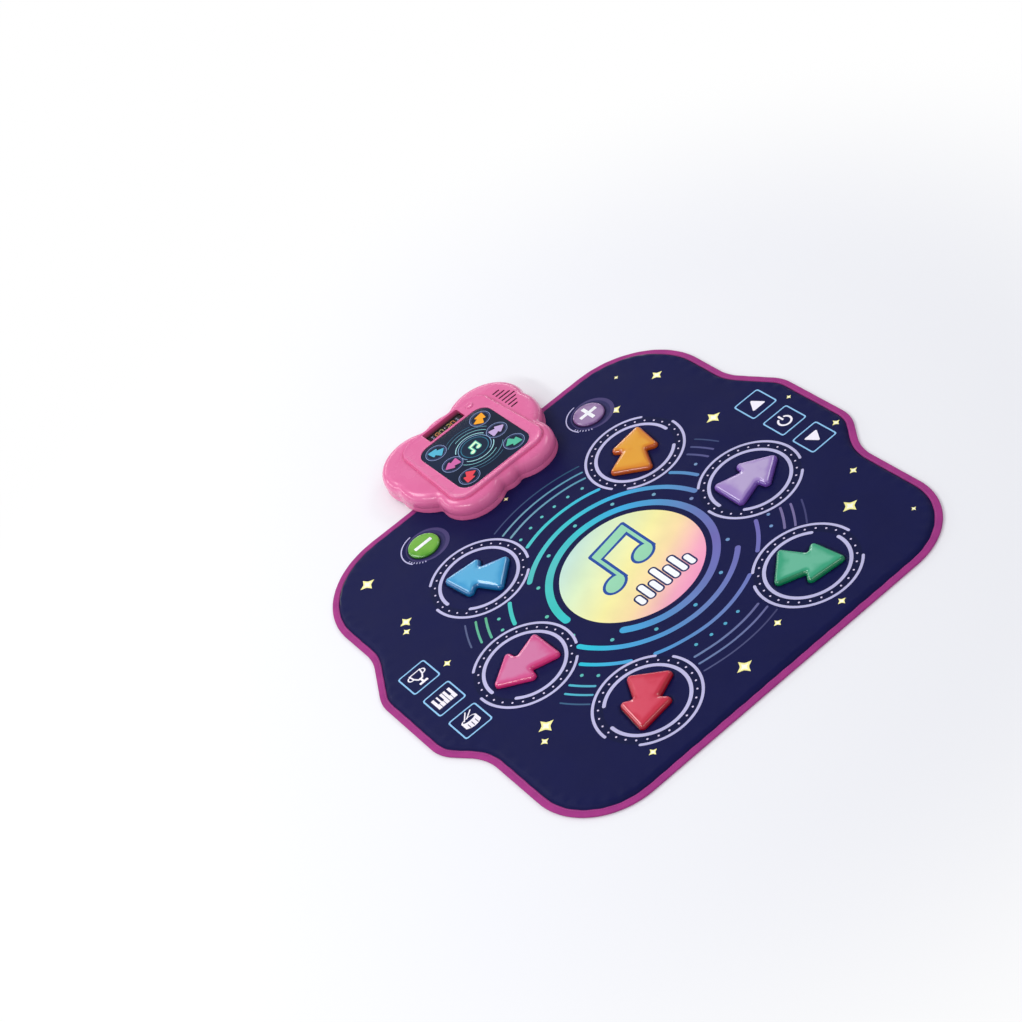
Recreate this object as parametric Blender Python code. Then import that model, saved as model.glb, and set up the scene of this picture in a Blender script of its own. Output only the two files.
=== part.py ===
"""Electronic dance mat with a cloud-shaped console clamped over its back edge.

Metres, +Z up. The floor is z = 0, +X is the player's right and +Y points at the console. The origin is on
the floor, midway between the left and right arrow pads.
"""
import math

import bmesh
import bpy
from mathutils import Matrix, Vector

# Clearances
GAP = 0.0003
SLIDE_CLEAR = 0.0006
HOLE_CLEAR = 0.0003

# Mat outline, seen from above
MAT_BACK_Y = 0.466
MAT_FRONT_Y = -0.353
BODY_HALF_WIDTH = 0.378
LOBE_REACH = 0.0445
LOBE_BACK_Y = 0.139
LOBE_FRONT_Y = -0.029
LOBE_BACK_RAMP = 0.092
LOBE_FRONT_RAMP = 0.067
BACK_CORNER_RADIUS = 0.150
FRONT_CORNER_RADIUS = 0.122
LOBE_RADIUS = 0.075
VALLEY_RADIUS = 0.090

# Layers of the mat, bottom to top
BASE_SHEET = 0.0008
FOAM = 0.0032
FILM = 0.0003
SPACER = 0.0015
COVER_SHEET = 0.0009

# Binding sewn round the edge
BINDING_WIDTH = 0.015
BINDING_TAPE = 0.0009
BINDING_LIP = 0.0006
EDGE_ROUNDING = 0.0005
SLOPE_RUN = 0.006
CORE_MARGIN = 0.002

# Arrow pads: how far in each pair of centres is from the body's side, and from its back or front edge
UPPER_PAD_SIDE_INSET = 0.2125
UPPER_PAD_BACK_INSET = 0.246
MIDDLE_PAD_SIDE_INSET = 0.147
LOWER_PAD_SIDE_INSET = 0.219
LOWER_PAD_FRONT_INSET = 0.134
PAD_COLOURS = {
    "pad_upper_left": "#49ACD8",
    "pad_upper_right": "#F5A21B",
    "pad_right": "#B79AD0",
    "pad_lower_right": "#3FB37A",
    "pad_lower_left": "#E0344F",
    "pad_left": "#D8629A",
}
ARROW_TIP = 0.061
ARROW_TAIL = 0.048
ARROW_WING_X = 0.0035
ARROW_WING_HALF = 0.0445
ARROW_NOTCH_X = 0.0
ARROW_NOTCH_HALF = 0.0205
ARROW_TAIL_HALF = 0.038
ARROW_ROUNDING = 0.007
ARROW_NOTCH_ROUNDING = 0.003
ARROW_HEIGHT = 0.0078
ARROW_SHOULDER = 0.0055
PAD_FLANGE_RADIUS = 0.065
PAD_FLANGE = 0.0009

# Volume pads beside the console: left lowers the sound, right raises it
VOLUME_FROM_CONSOLE = 0.066
VOLUME_IN_FRONT = 0.091
VOLUME_RADIUS = 0.028
VOLUME_HEIGHT = 0.0045
VOLUME_SHOULDER = 0.0035
VOLUME_FLANGE_REACH = 0.004

# Flat printed touch keys, in a column on each side
KEY_SIDE_INSET = 0.0715
KEY_FORWARD = 0.0015
KEY_PITCH = 0.0725
KEY_WINDOW = 0.042

# Console outline: discs about the console's centre, whose union is the cloud
CONSOLE_FORWARD = 0.009
BACK_LOBE_X = 0.071
BACK_LOBE_Y = 0.059
BACK_LOBE_RADIUS = 0.073
SIDE_LOBE_X = 0.058
SIDE_LOBE_Y = 0.015
SIDE_LOBE_RADIUS = 0.084
FRONT_LOBE_X = 0.055
FRONT_LOBE_Y = -0.069
FRONT_LOBE_RADIUS = 0.058
BACK_BUMP_Y = 0.061
BACK_BUMP_RADIUS = 0.062
FRONT_BUMP_Y = -0.092
FRONT_BUMP_RADIUS = 0.026
CLOUD_POINTS = 64

# Console heights and walls
REAR_UNDERSIDE = 0.002
FLOOR_THICKNESS = 0.0025
PARTING_Z = 0.018
PARTING_TUCK = 0.0006
PARTING_RUN = 0.006
DECK_Z = 0.042
WALL = 0.0022
SHOULDER_RADIUS = 0.014
BOTTOM_ROUNDING = 0.008
STEP_CLEARANCE = 0.003

# Raised plateau on the deck: the deck left free at its sides, front and back, and what it carries
SIDE_DECK = 0.047
FRONT_DECK = 0.013
BACK_DECK = 0.029
PLATEAU_TAPER = 0.009
PLATEAU_RADIUS = 0.030
PLATEAU_RISE = 0.004
PLATEAU_CORE_MARGIN = 0.0025
LEDGE = 0.0018
LEDGE_REACH = 0.004
PANEL_SIDE_MARGIN = 0.023
PANEL_MARGIN = 0.011
PANEL_RADIUS = 0.024
PANEL_THICKNESS = 0.0020
WINDOW_HALF_WIDTH = 0.038
WINDOW_SPACE = 0.005
WINDOW_LENGTH = 0.029
WINDOW_MARGIN = 0.006
WINDOW_RADIUS = 0.0025
LENS_THICKNESS = 0.0015
LENS_OVERLAP = 0.0020

# Lights under the panel: places of the six small ones, and the aperture radii
LIGHT_SIDE_INSET = 0.026
LIGHT_PITCH = 0.052
LIGHT_HOLE_RADIUS = 0.014
GLOW_HOLE_RADIUS = 0.026
LED_SIZE = 0.005
LED_HEIGHT = 0.0012

# Circuit board
BOARD_MARGIN = 0.011
BOARD_Z = 0.031
BOARD_THICKNESS = 0.0016
BOARD_FRONT_MARGIN = 0.016
BOARD_BACK_MARGIN = 0.005
BOARD_RADIUS = 0.003
BOARD_SCREW_INSET = 0.006
BOARD_BACK_SCREW_INSET = 0.027
DISPLAY_HEIGHT = 0.0066
DISPLAY_MARGIN = 0.004

# Push button on the plateau
BUTTON_FROM_WINDOW = 0.019
BUTTON_RADIUS = 0.007
BUTTON_PROUD = 0.0014
BUTTON_TRAVEL = 0.0012
BUTTON_FLANGE_REACH = 0.0016
BUTTON_FLANGE = 0.0011
BUTTON_STEM_RADIUS = 0.0025
SWITCH_SIZE = 0.006
SWITCH_HEIGHT = 0.0035
SWITCH_PLUNGER_RADIUS = 0.0017
SWITCH_PLUNGER = 0.0015

# Speaker and its slots on the right back lobe
SPEAKER_SIDE_INSET = 0.034
SPEAKER_FORWARD = 0.016
SPEAKER_RADIUS = 0.018
SPEAKER_RIM = 0.0015
SPEAKER_DEPTH = 0.013
MAGNET_RADIUS = 0.009
MAGNET_DEPTH = 0.005
RETAINER_THICKNESS = 0.0013
RETAINER_HALF_LENGTH = 0.029
RETAINER_SCREW_Y = 0.024
SLOTS_SHORTER_BY = (0.016, 0.010, 0.005, 0.0, 0.005, 0.010, 0.016)
SLOT_PITCH = 0.0096
SLOT_WIDTH = 0.0034
SLOT_START = 0.006
SLOT_EDGE_INSET = 0.009

# Batteries in the back of the base
CELL_RADIUS = 0.0071
CELL_LENGTH = 0.0500
CELL_PITCH = 0.0152
CELL_COUNT = 3
CELL_NUB_RADIUS = 0.0027
CELL_NUB = 0.0010
CONTACT = 0.0005
COMPARTMENT_BACK_INSET = 0.066
COMPARTMENT_WALL = 0.0016
CELL_CLEAR = 0.0012
DOOR_THICKNESS = 0.0018
DOOR_LEDGE = 0.0035
DOOR_TAB = 0.008
DOOR_RECESS = 0.0001
DOOR_SCREW_CLEAR = 0.0010
DOOR_SCREW_HEAD = 0.0009
DOOR_SCREW_BITE = 0.0033

# Fasteners
SCREW_RADIUS = 0.0015
SCREW_POINT_RADIUS = 0.0005
SCREW_HEAD_RADIUS = 0.0029
SCREW_HEAD = 0.0014
SCREW_HEAD_ROUNDING = 0.0006
BOSS_RADIUS = 0.0040
HEAD_SEAT = 0.0026
HOUSING_SCREW_BITE = 0.0087
BOARD_SCREW_BITE = 0.0054
RETAINER_SCREW_BITE = 0.0008
CLAMP_SCREW_BITE = 0.0012
FRONT_SCREW_OUTWARD = 0.001
FRONT_SCREW_BACKWARD = 0.007
SIDE_SCREW_INSET = 0.018
SIDE_SCREW_FORWARD = 0.012
BACK_SCREW_OUTWARD = 0.003
BACK_SCREW_INSET = 0.044
CLAMP_SCREW_X = (-0.066, -0.022, 0.022, 0.066)
CLAMP_INSET = 0.046
CLAMP_PLATE_HALF_LENGTH = 0.076
CLAMP_PLATE_HALF_WIDTH = 0.008
CLAMP_PLATE = 0.0020
CLAMP_BOSS_RADIUS = 0.0045

# Flat lead from the films
TAIL_HALF_WIDTH = 0.012
TAIL_INSET = 0.032
TAIL_FOOT = 0.012
TAIL_SLOT = 0.0014
SOCKET_HEIGHT = 0.0040

# Feet and leads
FOOT_RADIUS = 0.006
FOOT_SEAT = 0.0008
SIDE_FOOT_INSET = 0.040
SIDE_FOOT_FORWARD = 0.018
BACK_FOOT_INSET = 0.023
BACK_FOOT_OUTWARD = 0.004
LEAD_RADIUS = 0.0007
LEAD_SAG = 0.0022
BATTERY_LEAD_END = (0.043, 0.0)
SPEAKER_LEAD_END = (0.047, 0.008)

# Heights that follow from the layers
BASE_TOP = BASE_SHEET
FOAM_BOTTOM = BASE_TOP + GAP
FOAM_TOP = FOAM_BOTTOM + FOAM
LOWER_FILM_BOTTOM = FOAM_TOP + GAP
LOWER_FILM_TOP = LOWER_FILM_BOTTOM + FILM
SPACER_BOTTOM = LOWER_FILM_TOP + GAP
SPACER_TOP = SPACER_BOTTOM + SPACER
UPPER_FILM_BOTTOM = SPACER_TOP + GAP
UPPER_FILM_TOP = UPPER_FILM_BOTTOM + FILM
COVER_BOTTOM = UPPER_FILM_TOP + GAP
COVER_TOP = COVER_BOTTOM + COVER_SHEET
FRONT_UNDERSIDE = COVER_TOP + GAP
PAD_FLANGE_TOP = COVER_BOTTOM - GAP
PAD_FLANGE_BOTTOM = PAD_FLANGE_TOP - PAD_FLANGE
PLATEAU_Z = DECK_Z + PLATEAU_RISE
CEILING_Z = DECK_Z - WALL
BOARD_TOP = BOARD_Z + BOARD_THICKNESS
PANEL_SEAT_Z = PLATEAU_Z - PANEL_THICKNESS - 2 * GAP
CORE_Z = PANEL_SEAT_Z - LEDGE

# Arrow pads: place of each centre and the way its arrow points, in degrees
UPPER_PAD_X = BODY_HALF_WIDTH - UPPER_PAD_SIDE_INSET
UPPER_PAD_Y = MAT_BACK_Y - UPPER_PAD_BACK_INSET
MIDDLE_PAD_X = BODY_HALF_WIDTH - MIDDLE_PAD_SIDE_INSET
LOWER_PAD_X = BODY_HALF_WIDTH - LOWER_PAD_SIDE_INSET
LOWER_PAD_Y = MAT_FRONT_Y + LOWER_PAD_FRONT_INSET
ARROW_PADS = {
    "pad_upper_left": (-UPPER_PAD_X, UPPER_PAD_Y, 135),
    "pad_upper_right": (UPPER_PAD_X, UPPER_PAD_Y, 45),
    "pad_right": (MIDDLE_PAD_X, 0.0, 0),
    "pad_lower_right": (LOWER_PAD_X, LOWER_PAD_Y, -45),
    "pad_lower_left": (-LOWER_PAD_X, LOWER_PAD_Y, -135),
    "pad_left": (-MIDDLE_PAD_X, 0.0, 180),
}

# Places that follow from the two outlines
KEY_X = BODY_HALF_WIDTH + LOBE_REACH - KEY_SIDE_INSET
KEY_MIDDLE_Y = (LOBE_FRONT_Y + LOBE_BACK_Y) / 2 - KEY_FORWARD
CONSOLE_Y = MAT_BACK_Y - CONSOLE_FORWARD
FRONT_LOBES_Y = CONSOLE_Y + FRONT_LOBE_Y
SIDE_LOBES_Y = CONSOLE_Y + SIDE_LOBE_Y
BACK_LOBES_Y = CONSOLE_Y + BACK_LOBE_Y
BACK_LOBE_EDGE = BACK_LOBE_X + BACK_LOBE_RADIUS
VOLUME_X = FRONT_LOBE_X + FRONT_LOBE_RADIUS + VOLUME_FROM_CONSOLE
VOLUME_Y = CONSOLE_Y - VOLUME_IN_FRONT
PLATEAU_HALF_WIDTH = BACK_LOBE_EDGE - SIDE_DECK
PLATEAU_FRONT = CONSOLE_Y + FRONT_BUMP_Y - FRONT_BUMP_RADIUS + FRONT_DECK
PLATEAU_BACK = BACK_LOBES_Y + BACK_LOBE_RADIUS - BACK_DECK
WINDOW_BACK = PLATEAU_BACK - WINDOW_MARGIN
WINDOW_FRONT = WINDOW_BACK - WINDOW_LENGTH
WINDOW_MIDDLE_Y = (WINDOW_FRONT + WINDOW_BACK) / 2
PANEL_HALF_WIDTH = PLATEAU_HALF_WIDTH - PANEL_SIDE_MARGIN
PANEL_FRONT = PLATEAU_FRONT + PANEL_MARGIN
PANEL_BACK = WINDOW_FRONT - WINDOW_SPACE
PANEL_MIDDLE_Y = (PANEL_FRONT + PANEL_BACK) / 2
LIGHT_X = PANEL_HALF_WIDTH - LIGHT_SIDE_INSET
BUTTON_X = WINDOW_HALF_WIDTH + BUTTON_FROM_WINDOW
BOARD_HALF_WIDTH = PLATEAU_HALF_WIDTH - BOARD_MARGIN
BOARD_FRONT = PLATEAU_FRONT + BOARD_FRONT_MARGIN
BOARD_BACK = PLATEAU_BACK - BOARD_BACK_MARGIN
SPEAKER_X = BACK_LOBE_EDGE - SPEAKER_SIDE_INSET
SPEAKER_Y = BACK_LOBES_Y - SPEAKER_FORWARD
SLOTS_LEFT = PLATEAU_HALF_WIDTH + SLOT_START
SLOTS_RIGHT = BACK_LOBE_EDGE - SLOT_EDGE_INSET
HOUSING_SCREWS = (
    (PLATEAU_HALF_WIDTH + FRONT_SCREW_OUTWARD, FRONT_LOBES_Y + FRONT_SCREW_BACKWARD),
    (SIDE_LOBE_X + SIDE_LOBE_RADIUS - SIDE_SCREW_INSET, SIDE_LOBES_Y - SIDE_SCREW_FORWARD),
    (PLATEAU_HALF_WIDTH + BACK_SCREW_OUTWARD, BACK_LOBES_Y + BACK_LOBE_RADIUS - BACK_SCREW_INSET),
)
FOOT_PLACES = (
    (BACK_LOBE_EDGE - SIDE_FOOT_INSET, BACK_LOBES_Y - SIDE_FOOT_FORWARD),
    (BACK_LOBE_X + BACK_FOOT_OUTWARD, BACK_LOBES_Y + BACK_LOBE_RADIUS - BACK_FOOT_INSET),
)
STEP_Y = MAT_BACK_Y + STEP_CLEARANCE
CLAMP_Y = MAT_BACK_Y - CLAMP_INSET
TAIL_Y = MAT_BACK_Y - TAIL_INSET
CORE_INSET = BINDING_WIDTH + SLOPE_RUN + CORE_MARGIN
COMPARTMENT_MIDDLE_Y = BACK_LOBES_Y + BACK_LOBE_RADIUS - COMPARTMENT_BACK_INSET
COMPARTMENT_HALF_Y = (CELL_PITCH * (CELL_COUNT - 1)) / 2 + CELL_RADIUS + CELL_CLEAR
COMPARTMENT_HALF_X = CELL_LENGTH / 2 + CELL_NUB + CONTACT + 2 * GAP + CELL_CLEAR
DOOR_BOTTOM = REAR_UNDERSIDE + DOOR_RECESS
DOOR_TOP = DOOR_BOTTOM + DOOR_THICKNESS
DOOR_FRONT = COMPARTMENT_MIDDLE_Y - COMPARTMENT_HALF_Y - DOOR_LEDGE
DOOR_BACK = COMPARTMENT_MIDDLE_Y + COMPARTMENT_HALF_Y + DOOR_TAB
DOOR_HALF_X = COMPARTMENT_HALF_X + DOOR_LEDGE
CELL_Z = REAR_UNDERSIDE + FLOOR_THICKNESS + GAP + CELL_RADIUS
COMPARTMENT_TOP = CELL_Z + CELL_RADIUS + 2 * GAP

# Fineness of the faceted shapes, and how far a cutter passes through
CHORD_ERROR = 0.0005
FIRST_STEP = 0.4
BOSS_SIDES = 10
HOLE_SIDES = 8
PAD_SIDES = 20
SHARP_ANGLE = math.radians(35)
THROUGH = 0.004

FINISHES = {
    "printed_cover": ("#1F1F4F", 0.42, 0.0),
    "binding_tape": ("#A63A86", 0.70, 0.0),
    "grip_sheet": ("#26262B", 0.90, 0.0),
    "foam": ("#E9E6DD", 0.95, 0.0),
    "contact_film": ("#C9C7BE", 0.30, 0.0),
    "console_pink": ("#F070A8", 0.28, 0.0),
    "smoked_panel": ("#14283F", 0.12, 0.0),
    "smoked_lens": ("#161015", 0.08, 0.0),
    "black_plastic": ("#1C1C20", 0.45, 0.0),
    "white_plastic": ("#ECECEC", 0.50, 0.0),
    "circuit_board": ("#1F6B43", 0.40, 0.0),
    "plated_steel": ("#B9BABD", 0.35, 1.0),
    "cell_jacket": ("#2D3138", 0.35, 0.0),
    "foot_rubber": ("#3A3A3E", 0.90, 0.0),
    "volume_down": ("#5FB81E", 0.15, 0.0),
    "volume_up": ("#A070B0", 0.15, 0.0),
}


# Materials

def linear(hex_colour):
    """Turn an sRGB hex colour into the linear RGBA that a shader takes."""
    channels = [int(hex_colour[i:i + 2], 16) / 255 for i in (1, 3, 5)]
    return [c / 12.92 if c <= 0.04045 else ((c + 0.055) / 1.055) ** 2.4 for c in channels] + [1.0]


def finish(name, hex_colour, roughness, metallic):
    """Make or reuse a Principled material."""
    material = bpy.data.materials.get(name)
    if material is None:
        material = bpy.data.materials.new(name)
        material.use_nodes = True
        shader = material.node_tree.nodes["Principled BSDF"]
        shader.inputs["Base Color"].default_value = linear(hex_colour)
        shader.inputs["Roughness"].default_value = roughness
        shader.inputs["Metallic"].default_value = metallic
    return material


# Outlines in the XY plane, all anticlockwise

def rounded(corners, inset=0.0):
    """Fillet a polygon of (x, y, radius) corners, after moving its edges inwards by the inset."""
    count = len(corners)
    points = [Vector(c[:2]) for c in corners]
    edges = [(points[(i + 1) % count] - points[i]).normalized() for i in range(count)]
    moved = []
    for i in range(count):
        before = Vector((-edges[i - 1].y, edges[i - 1].x))
        after = Vector((-edges[i].y, edges[i].x))
        moved.append(points[i] + inset * (before + after) / (1 + before.dot(after)))
    outline = []
    for i in range(count):
        before, after = edges[i - 1], edges[i]
        turn = math.atan2(before.cross(after), before.dot(after))
        side = 1 if turn > 0 else -1
        radius = max(corners[i][2] - side * inset, GAP)
        room = 0.49 * min((moved[i] - moved[i - 1]).length, (moved[(i + 1) % count] - moved[i]).length)
        radius = min(radius, room / math.tan(abs(turn) / 2))
        start = moved[i] - before * radius * math.tan(abs(turn) / 2)
        centre = start + Vector((-before.y, before.x)) * radius * side
        chord_turn = 2 * math.acos(1 - CHORD_ERROR / max(corners[i][2], 2 * CHORD_ERROR))
        steps = max(2, math.ceil(abs(turn) / chord_turn))
        for step in range(steps + 1):
            outline.append(tuple(centre + Matrix.Rotation(turn * step / steps, 2) @ (start - centre)))
    return outline


def mirrored(half):
    """Complete a right half, given front to back, with its mirror image."""
    return list(half) + [(-x, y, r) for x, y, r in reversed(half)]


def mat_outline(inset=0.0):
    """The mat's edge: a rounded square with a shallow lobe on each side."""
    lobe_x = BODY_HALF_WIDTH + LOBE_REACH
    half = [
        (BODY_HALF_WIDTH, MAT_FRONT_Y, FRONT_CORNER_RADIUS),
        (BODY_HALF_WIDTH, LOBE_FRONT_Y - LOBE_FRONT_RAMP, VALLEY_RADIUS),
        (lobe_x, LOBE_FRONT_Y, LOBE_RADIUS),
        (lobe_x, LOBE_BACK_Y, LOBE_RADIUS),
        (BODY_HALF_WIDTH, LOBE_BACK_Y + LOBE_BACK_RAMP, VALLEY_RADIUS),
        (BODY_HALF_WIDTH, MAT_BACK_Y, BACK_CORNER_RADIUS),
    ]
    return rounded(mirrored(half), inset)


def rounded_box(left, right, front, back, radius):
    """A rectangle with equal fillets."""
    corners = [(right, front, radius), (right, back, radius), (left, back, radius), (left, front, radius)]
    return rounded(corners)


def rectangle(left, right, front, back):
    """A rectangle with sharp corners."""
    return [(right, front), (right, back), (left, back), (left, front)]


def circle(x, y, radius, count=24):
    """A regular polygon standing for a circle."""
    angles = [math.tau * i / count for i in range(count)]
    return [(x + radius * math.cos(a), y + radius * math.sin(a)) for a in angles]


def arrow_outline(inset=0.0):
    """A double arrowhead about its own centre, pointing along +X."""
    half = [
        (ARROW_TAIL_HALF, -ARROW_TAIL, ARROW_ROUNDING),
        (ARROW_NOTCH_HALF, ARROW_NOTCH_X, ARROW_NOTCH_ROUNDING),
        (ARROW_WING_HALF, ARROW_WING_X, ARROW_ROUNDING),
    ]
    lower = [(x, -y, r) for y, x, r in half]
    upper = [(x, y, r) for y, x, r in reversed(half)]
    return rounded(lower + [(ARROW_TIP, 0.0, ARROW_ROUNDING)] + upper, inset)


def turned_and_placed(outline, x, y, heading):
    """Turn an outline by a heading in degrees and move it."""
    turn = Matrix.Rotation(math.radians(heading), 2)
    return [tuple(turn @ Vector(p) + Vector((x, y))) for p in outline]


def cloud_discs():
    """The discs whose union is the console, as (x, y, radius) about the console's centre."""
    discs = [(0.0, BACK_BUMP_Y, BACK_BUMP_RADIUS), (0.0, FRONT_BUMP_Y, FRONT_BUMP_RADIUS)]
    for side in (-1, 1):
        discs.append((side * BACK_LOBE_X, BACK_LOBE_Y, BACK_LOBE_RADIUS))
        discs.append((side * SIDE_LOBE_X, SIDE_LOBE_Y, SIDE_LOBE_RADIUS))
        discs.append((side * FRONT_LOBE_X, FRONT_LOBE_Y, FRONT_LOBE_RADIUS))
    return discs


def cloud_outline(inset=0.0):
    """The union of the shrunken discs, seen from the centre, with its valleys softened."""
    reaches = []
    for i in range(CLOUD_POINTS):
        angle = math.tau * i / CLOUD_POINTS
        ray = Vector((math.cos(angle), math.sin(angle)))
        best = 0.0
        for x, y, radius in cloud_discs():
            along = ray.dot(Vector((x, y)))
            under_root = along ** 2 - (x * x + y * y) + (radius - inset) ** 2
            if under_root > 0:
                best = max(best, along + math.sqrt(under_root))
        reaches.append(best)
    outline = []
    for i in range(CLOUD_POINTS):
        angle = math.tau * i / CLOUD_POINTS
        reach = (reaches[i - 1] + 2 * reaches[i] + reaches[(i + 1) % CLOUD_POINTS]) / 4
        outline.append((reach * math.cos(angle), CONSOLE_Y + reach * math.sin(angle)))
    return outline


# Rounded edges

def quarter_circle(radius, steps):
    """Insets from a side and depths from a flat face round the edge between them, face first."""
    places = []
    for step in reversed(range(steps)):
        angle = math.radians(90) * (step + FIRST_STEP) / (steps - 1 + FIRST_STEP)
        places.append((radius * (1 - math.cos(angle)), radius * (1 - math.sin(angle))))
    return places


def shoulder(start_inset, radius, top, steps):
    """Insets and heights round an upper edge, side first."""
    return [(start_inset + inset, top - depth) for inset, depth in reversed(quarter_circle(radius, steps))]


# Closed shells from chains of rings

def level(outline, z):
    """Lift an outline to a height."""
    return [Vector((x, y, z)) for x, y in outline]


def upright(outline, low, high):
    """A straight-sided shell of an outline."""
    return [level(outline, low), level(outline, high)]


def block(left, right, front, back, low, high):
    """A plain block."""
    return upright(rectangle(left, right, front, back), low, high)


def turned(x, y, profile, count=12):
    """A shell turned about a vertical axis, from a profile of (radius, z)."""
    return [level(circle(x, y, radius, count), z) for radius, z in profile]


def turned_along_x(y, z, profile, count=12):
    """A shell turned about an axis along X, from a profile of (radius, x)."""
    rings = []
    for radius, x in profile:
        ring = circle(0.0, 0.0, radius, count)
        rings.append([Vector((x, y + a, z + b)) for a, b in ring])
    return rings


def add_loop(bm, ring):
    """Add the points of a closed loop."""
    return [bm.verts.new(point) for point in ring]


def fill(bm, loops):
    """Fill flat closed loops, the inner ones as holes."""
    edges = []
    for verts in loops:
        for pair in zip(verts, verts[1:] + verts[:1]):
            edges.append(bm.edges.get(pair) or bm.edges.new(pair))
    bmesh.ops.triangle_fill(bm, edges=edges, use_beauty=True, use_dissolve=False)


def join(bm, first, second):
    """Wall two loops point by point, or fill between them where they are flat and differ in count."""
    if len(first) != len(second):
        fill(bm, [first, second])
        return
    for i in range(len(first)):
        bm.faces.new((first[i - 1], first[i], second[i], second[i - 1]))


def add_shell(bm, rings, holes=(), ring_shaped=False):
    """Join a chain of rings into a closed shell, with holes right through its two end faces."""
    loops = [add_loop(bm, ring) for ring in rings]
    for first, second in zip(loops, loops[1:]):
        join(bm, first, second)
    if ring_shaped:
        join(bm, loops[-1], loops[0])
        return
    caps = [[loops[0]], [loops[-1]]]
    for hole in holes:
        walls = [add_loop(bm, level(hole, rings[end][0].z)) for end in (0, -1)]
        join(bm, walls[0], walls[1])
        caps[0].append(walls[0])
        caps[1].append(walls[1])
    for cap in caps:
        fill(bm, cap)


def object_from(name, bm):
    """Turn a bmesh into an object whose faces point out."""
    bmesh.ops.recalc_face_normals(bm, faces=bm.faces)
    if bm.calc_volume(signed=True) < 0:
        bmesh.ops.reverse_faces(bm, faces=bm.faces)
    mesh = bpy.data.meshes.new(name)
    bm.to_mesh(mesh)
    bm.free()
    mesh.shade_smooth()
    mesh.set_sharp_from_angle(angle=SHARP_ANGLE)
    made = bpy.data.objects.new(name, mesh)
    bpy.context.collection.objects.link(made)
    return made


def piece(name, finish_name, rings, holes=(), ring_shaped=False, origin=None):
    """Make one sub-part from a chain of rings, with its origin where it moves from."""
    bm = bmesh.new()
    add_shell(bm, rings, holes, ring_shaped)
    if origin is not None:
        bmesh.ops.translate(bm, verts=bm.verts, vec=-Vector(origin))
    made = object_from(name, bm)
    made.location = origin or (0, 0, 0)
    made.data.materials.append(finish(finish_name, *FINISHES[finish_name]))
    return made


def boolean(target, step_name, shells, operation):
    """Cut shells from a sub-part or weld them to it, with a live Boolean."""
    bm = bmesh.new()
    for rings in shells:
        add_shell(bm, rings)
    tool = object_from(step_name, bm)
    tool.hide_render = True
    tool.display_type = "WIRE"
    modifier = target.modifiers.new(step_name, "BOOLEAN")
    modifier.operation = operation
    modifier.object = tool
    modifier.solver = "EXACT"
    return tool


def cut(target, step_name, shells):
    """Remove shells from a sub-part."""
    return boolean(target, "cut_" + step_name, shells, "DIFFERENCE")


def weld(target, step_name, shells):
    """Join shells to a sub-part."""
    return boolean(target, "weld_" + step_name, shells, "UNION")


# Mat

def touch_key_windows():
    """Square windows of the spacer under the printed touch keys."""
    half = KEY_WINDOW / 2
    windows = []
    for side in (-1, 1):
        for row in (-1, 0, 1):
            x, y = side * KEY_X, KEY_MIDDLE_Y + row * KEY_PITCH
            windows.append(rectangle(x - half, x + half, y - half, y + half))
    return windows


def pad_windows(clearance):
    """Round windows for the flanges of all eight pads."""
    windows = [circle(x, y, PAD_FLANGE_RADIUS + clearance, PAD_SIDES) for x, y, _ in ARROW_PADS.values()]
    for side in (-1, 1):
        reach = VOLUME_RADIUS + VOLUME_FLANGE_REACH + clearance
        windows.append(circle(side * VOLUME_X, VOLUME_Y, reach, PAD_SIDES))
    return windows


def clamp_holes(clearance=HOLE_CLEAR):
    """Holes that let the console's clamp bosses through a sheet."""
    return [circle(x, CLAMP_Y, CLAMP_BOSS_RADIUS + clearance, BOSS_SIDES) for x in CLAMP_SCREW_X]


def tail_window(foot):
    """Slot for the flat lead, as long as its foot where the foot lies in it."""
    half = TAIL_HALF_WIDTH + SLIDE_CLEAR
    front = TAIL_Y - (TAIL_FOOT if foot else 0.0) - TAIL_SLOT
    return rectangle(-half, half, front, TAIL_Y + TAIL_SLOT)


def clamp_plate_window():
    """Opening of the lowest layers round the clamp plate."""
    half_x, half_y = CLAMP_PLATE_HALF_LENGTH + SLIDE_CLEAR, CLAMP_PLATE_HALF_WIDTH + SLIDE_CLEAR
    return rectangle(-half_x, half_x, CLAMP_Y - half_y, CLAMP_Y + half_y)


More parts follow.
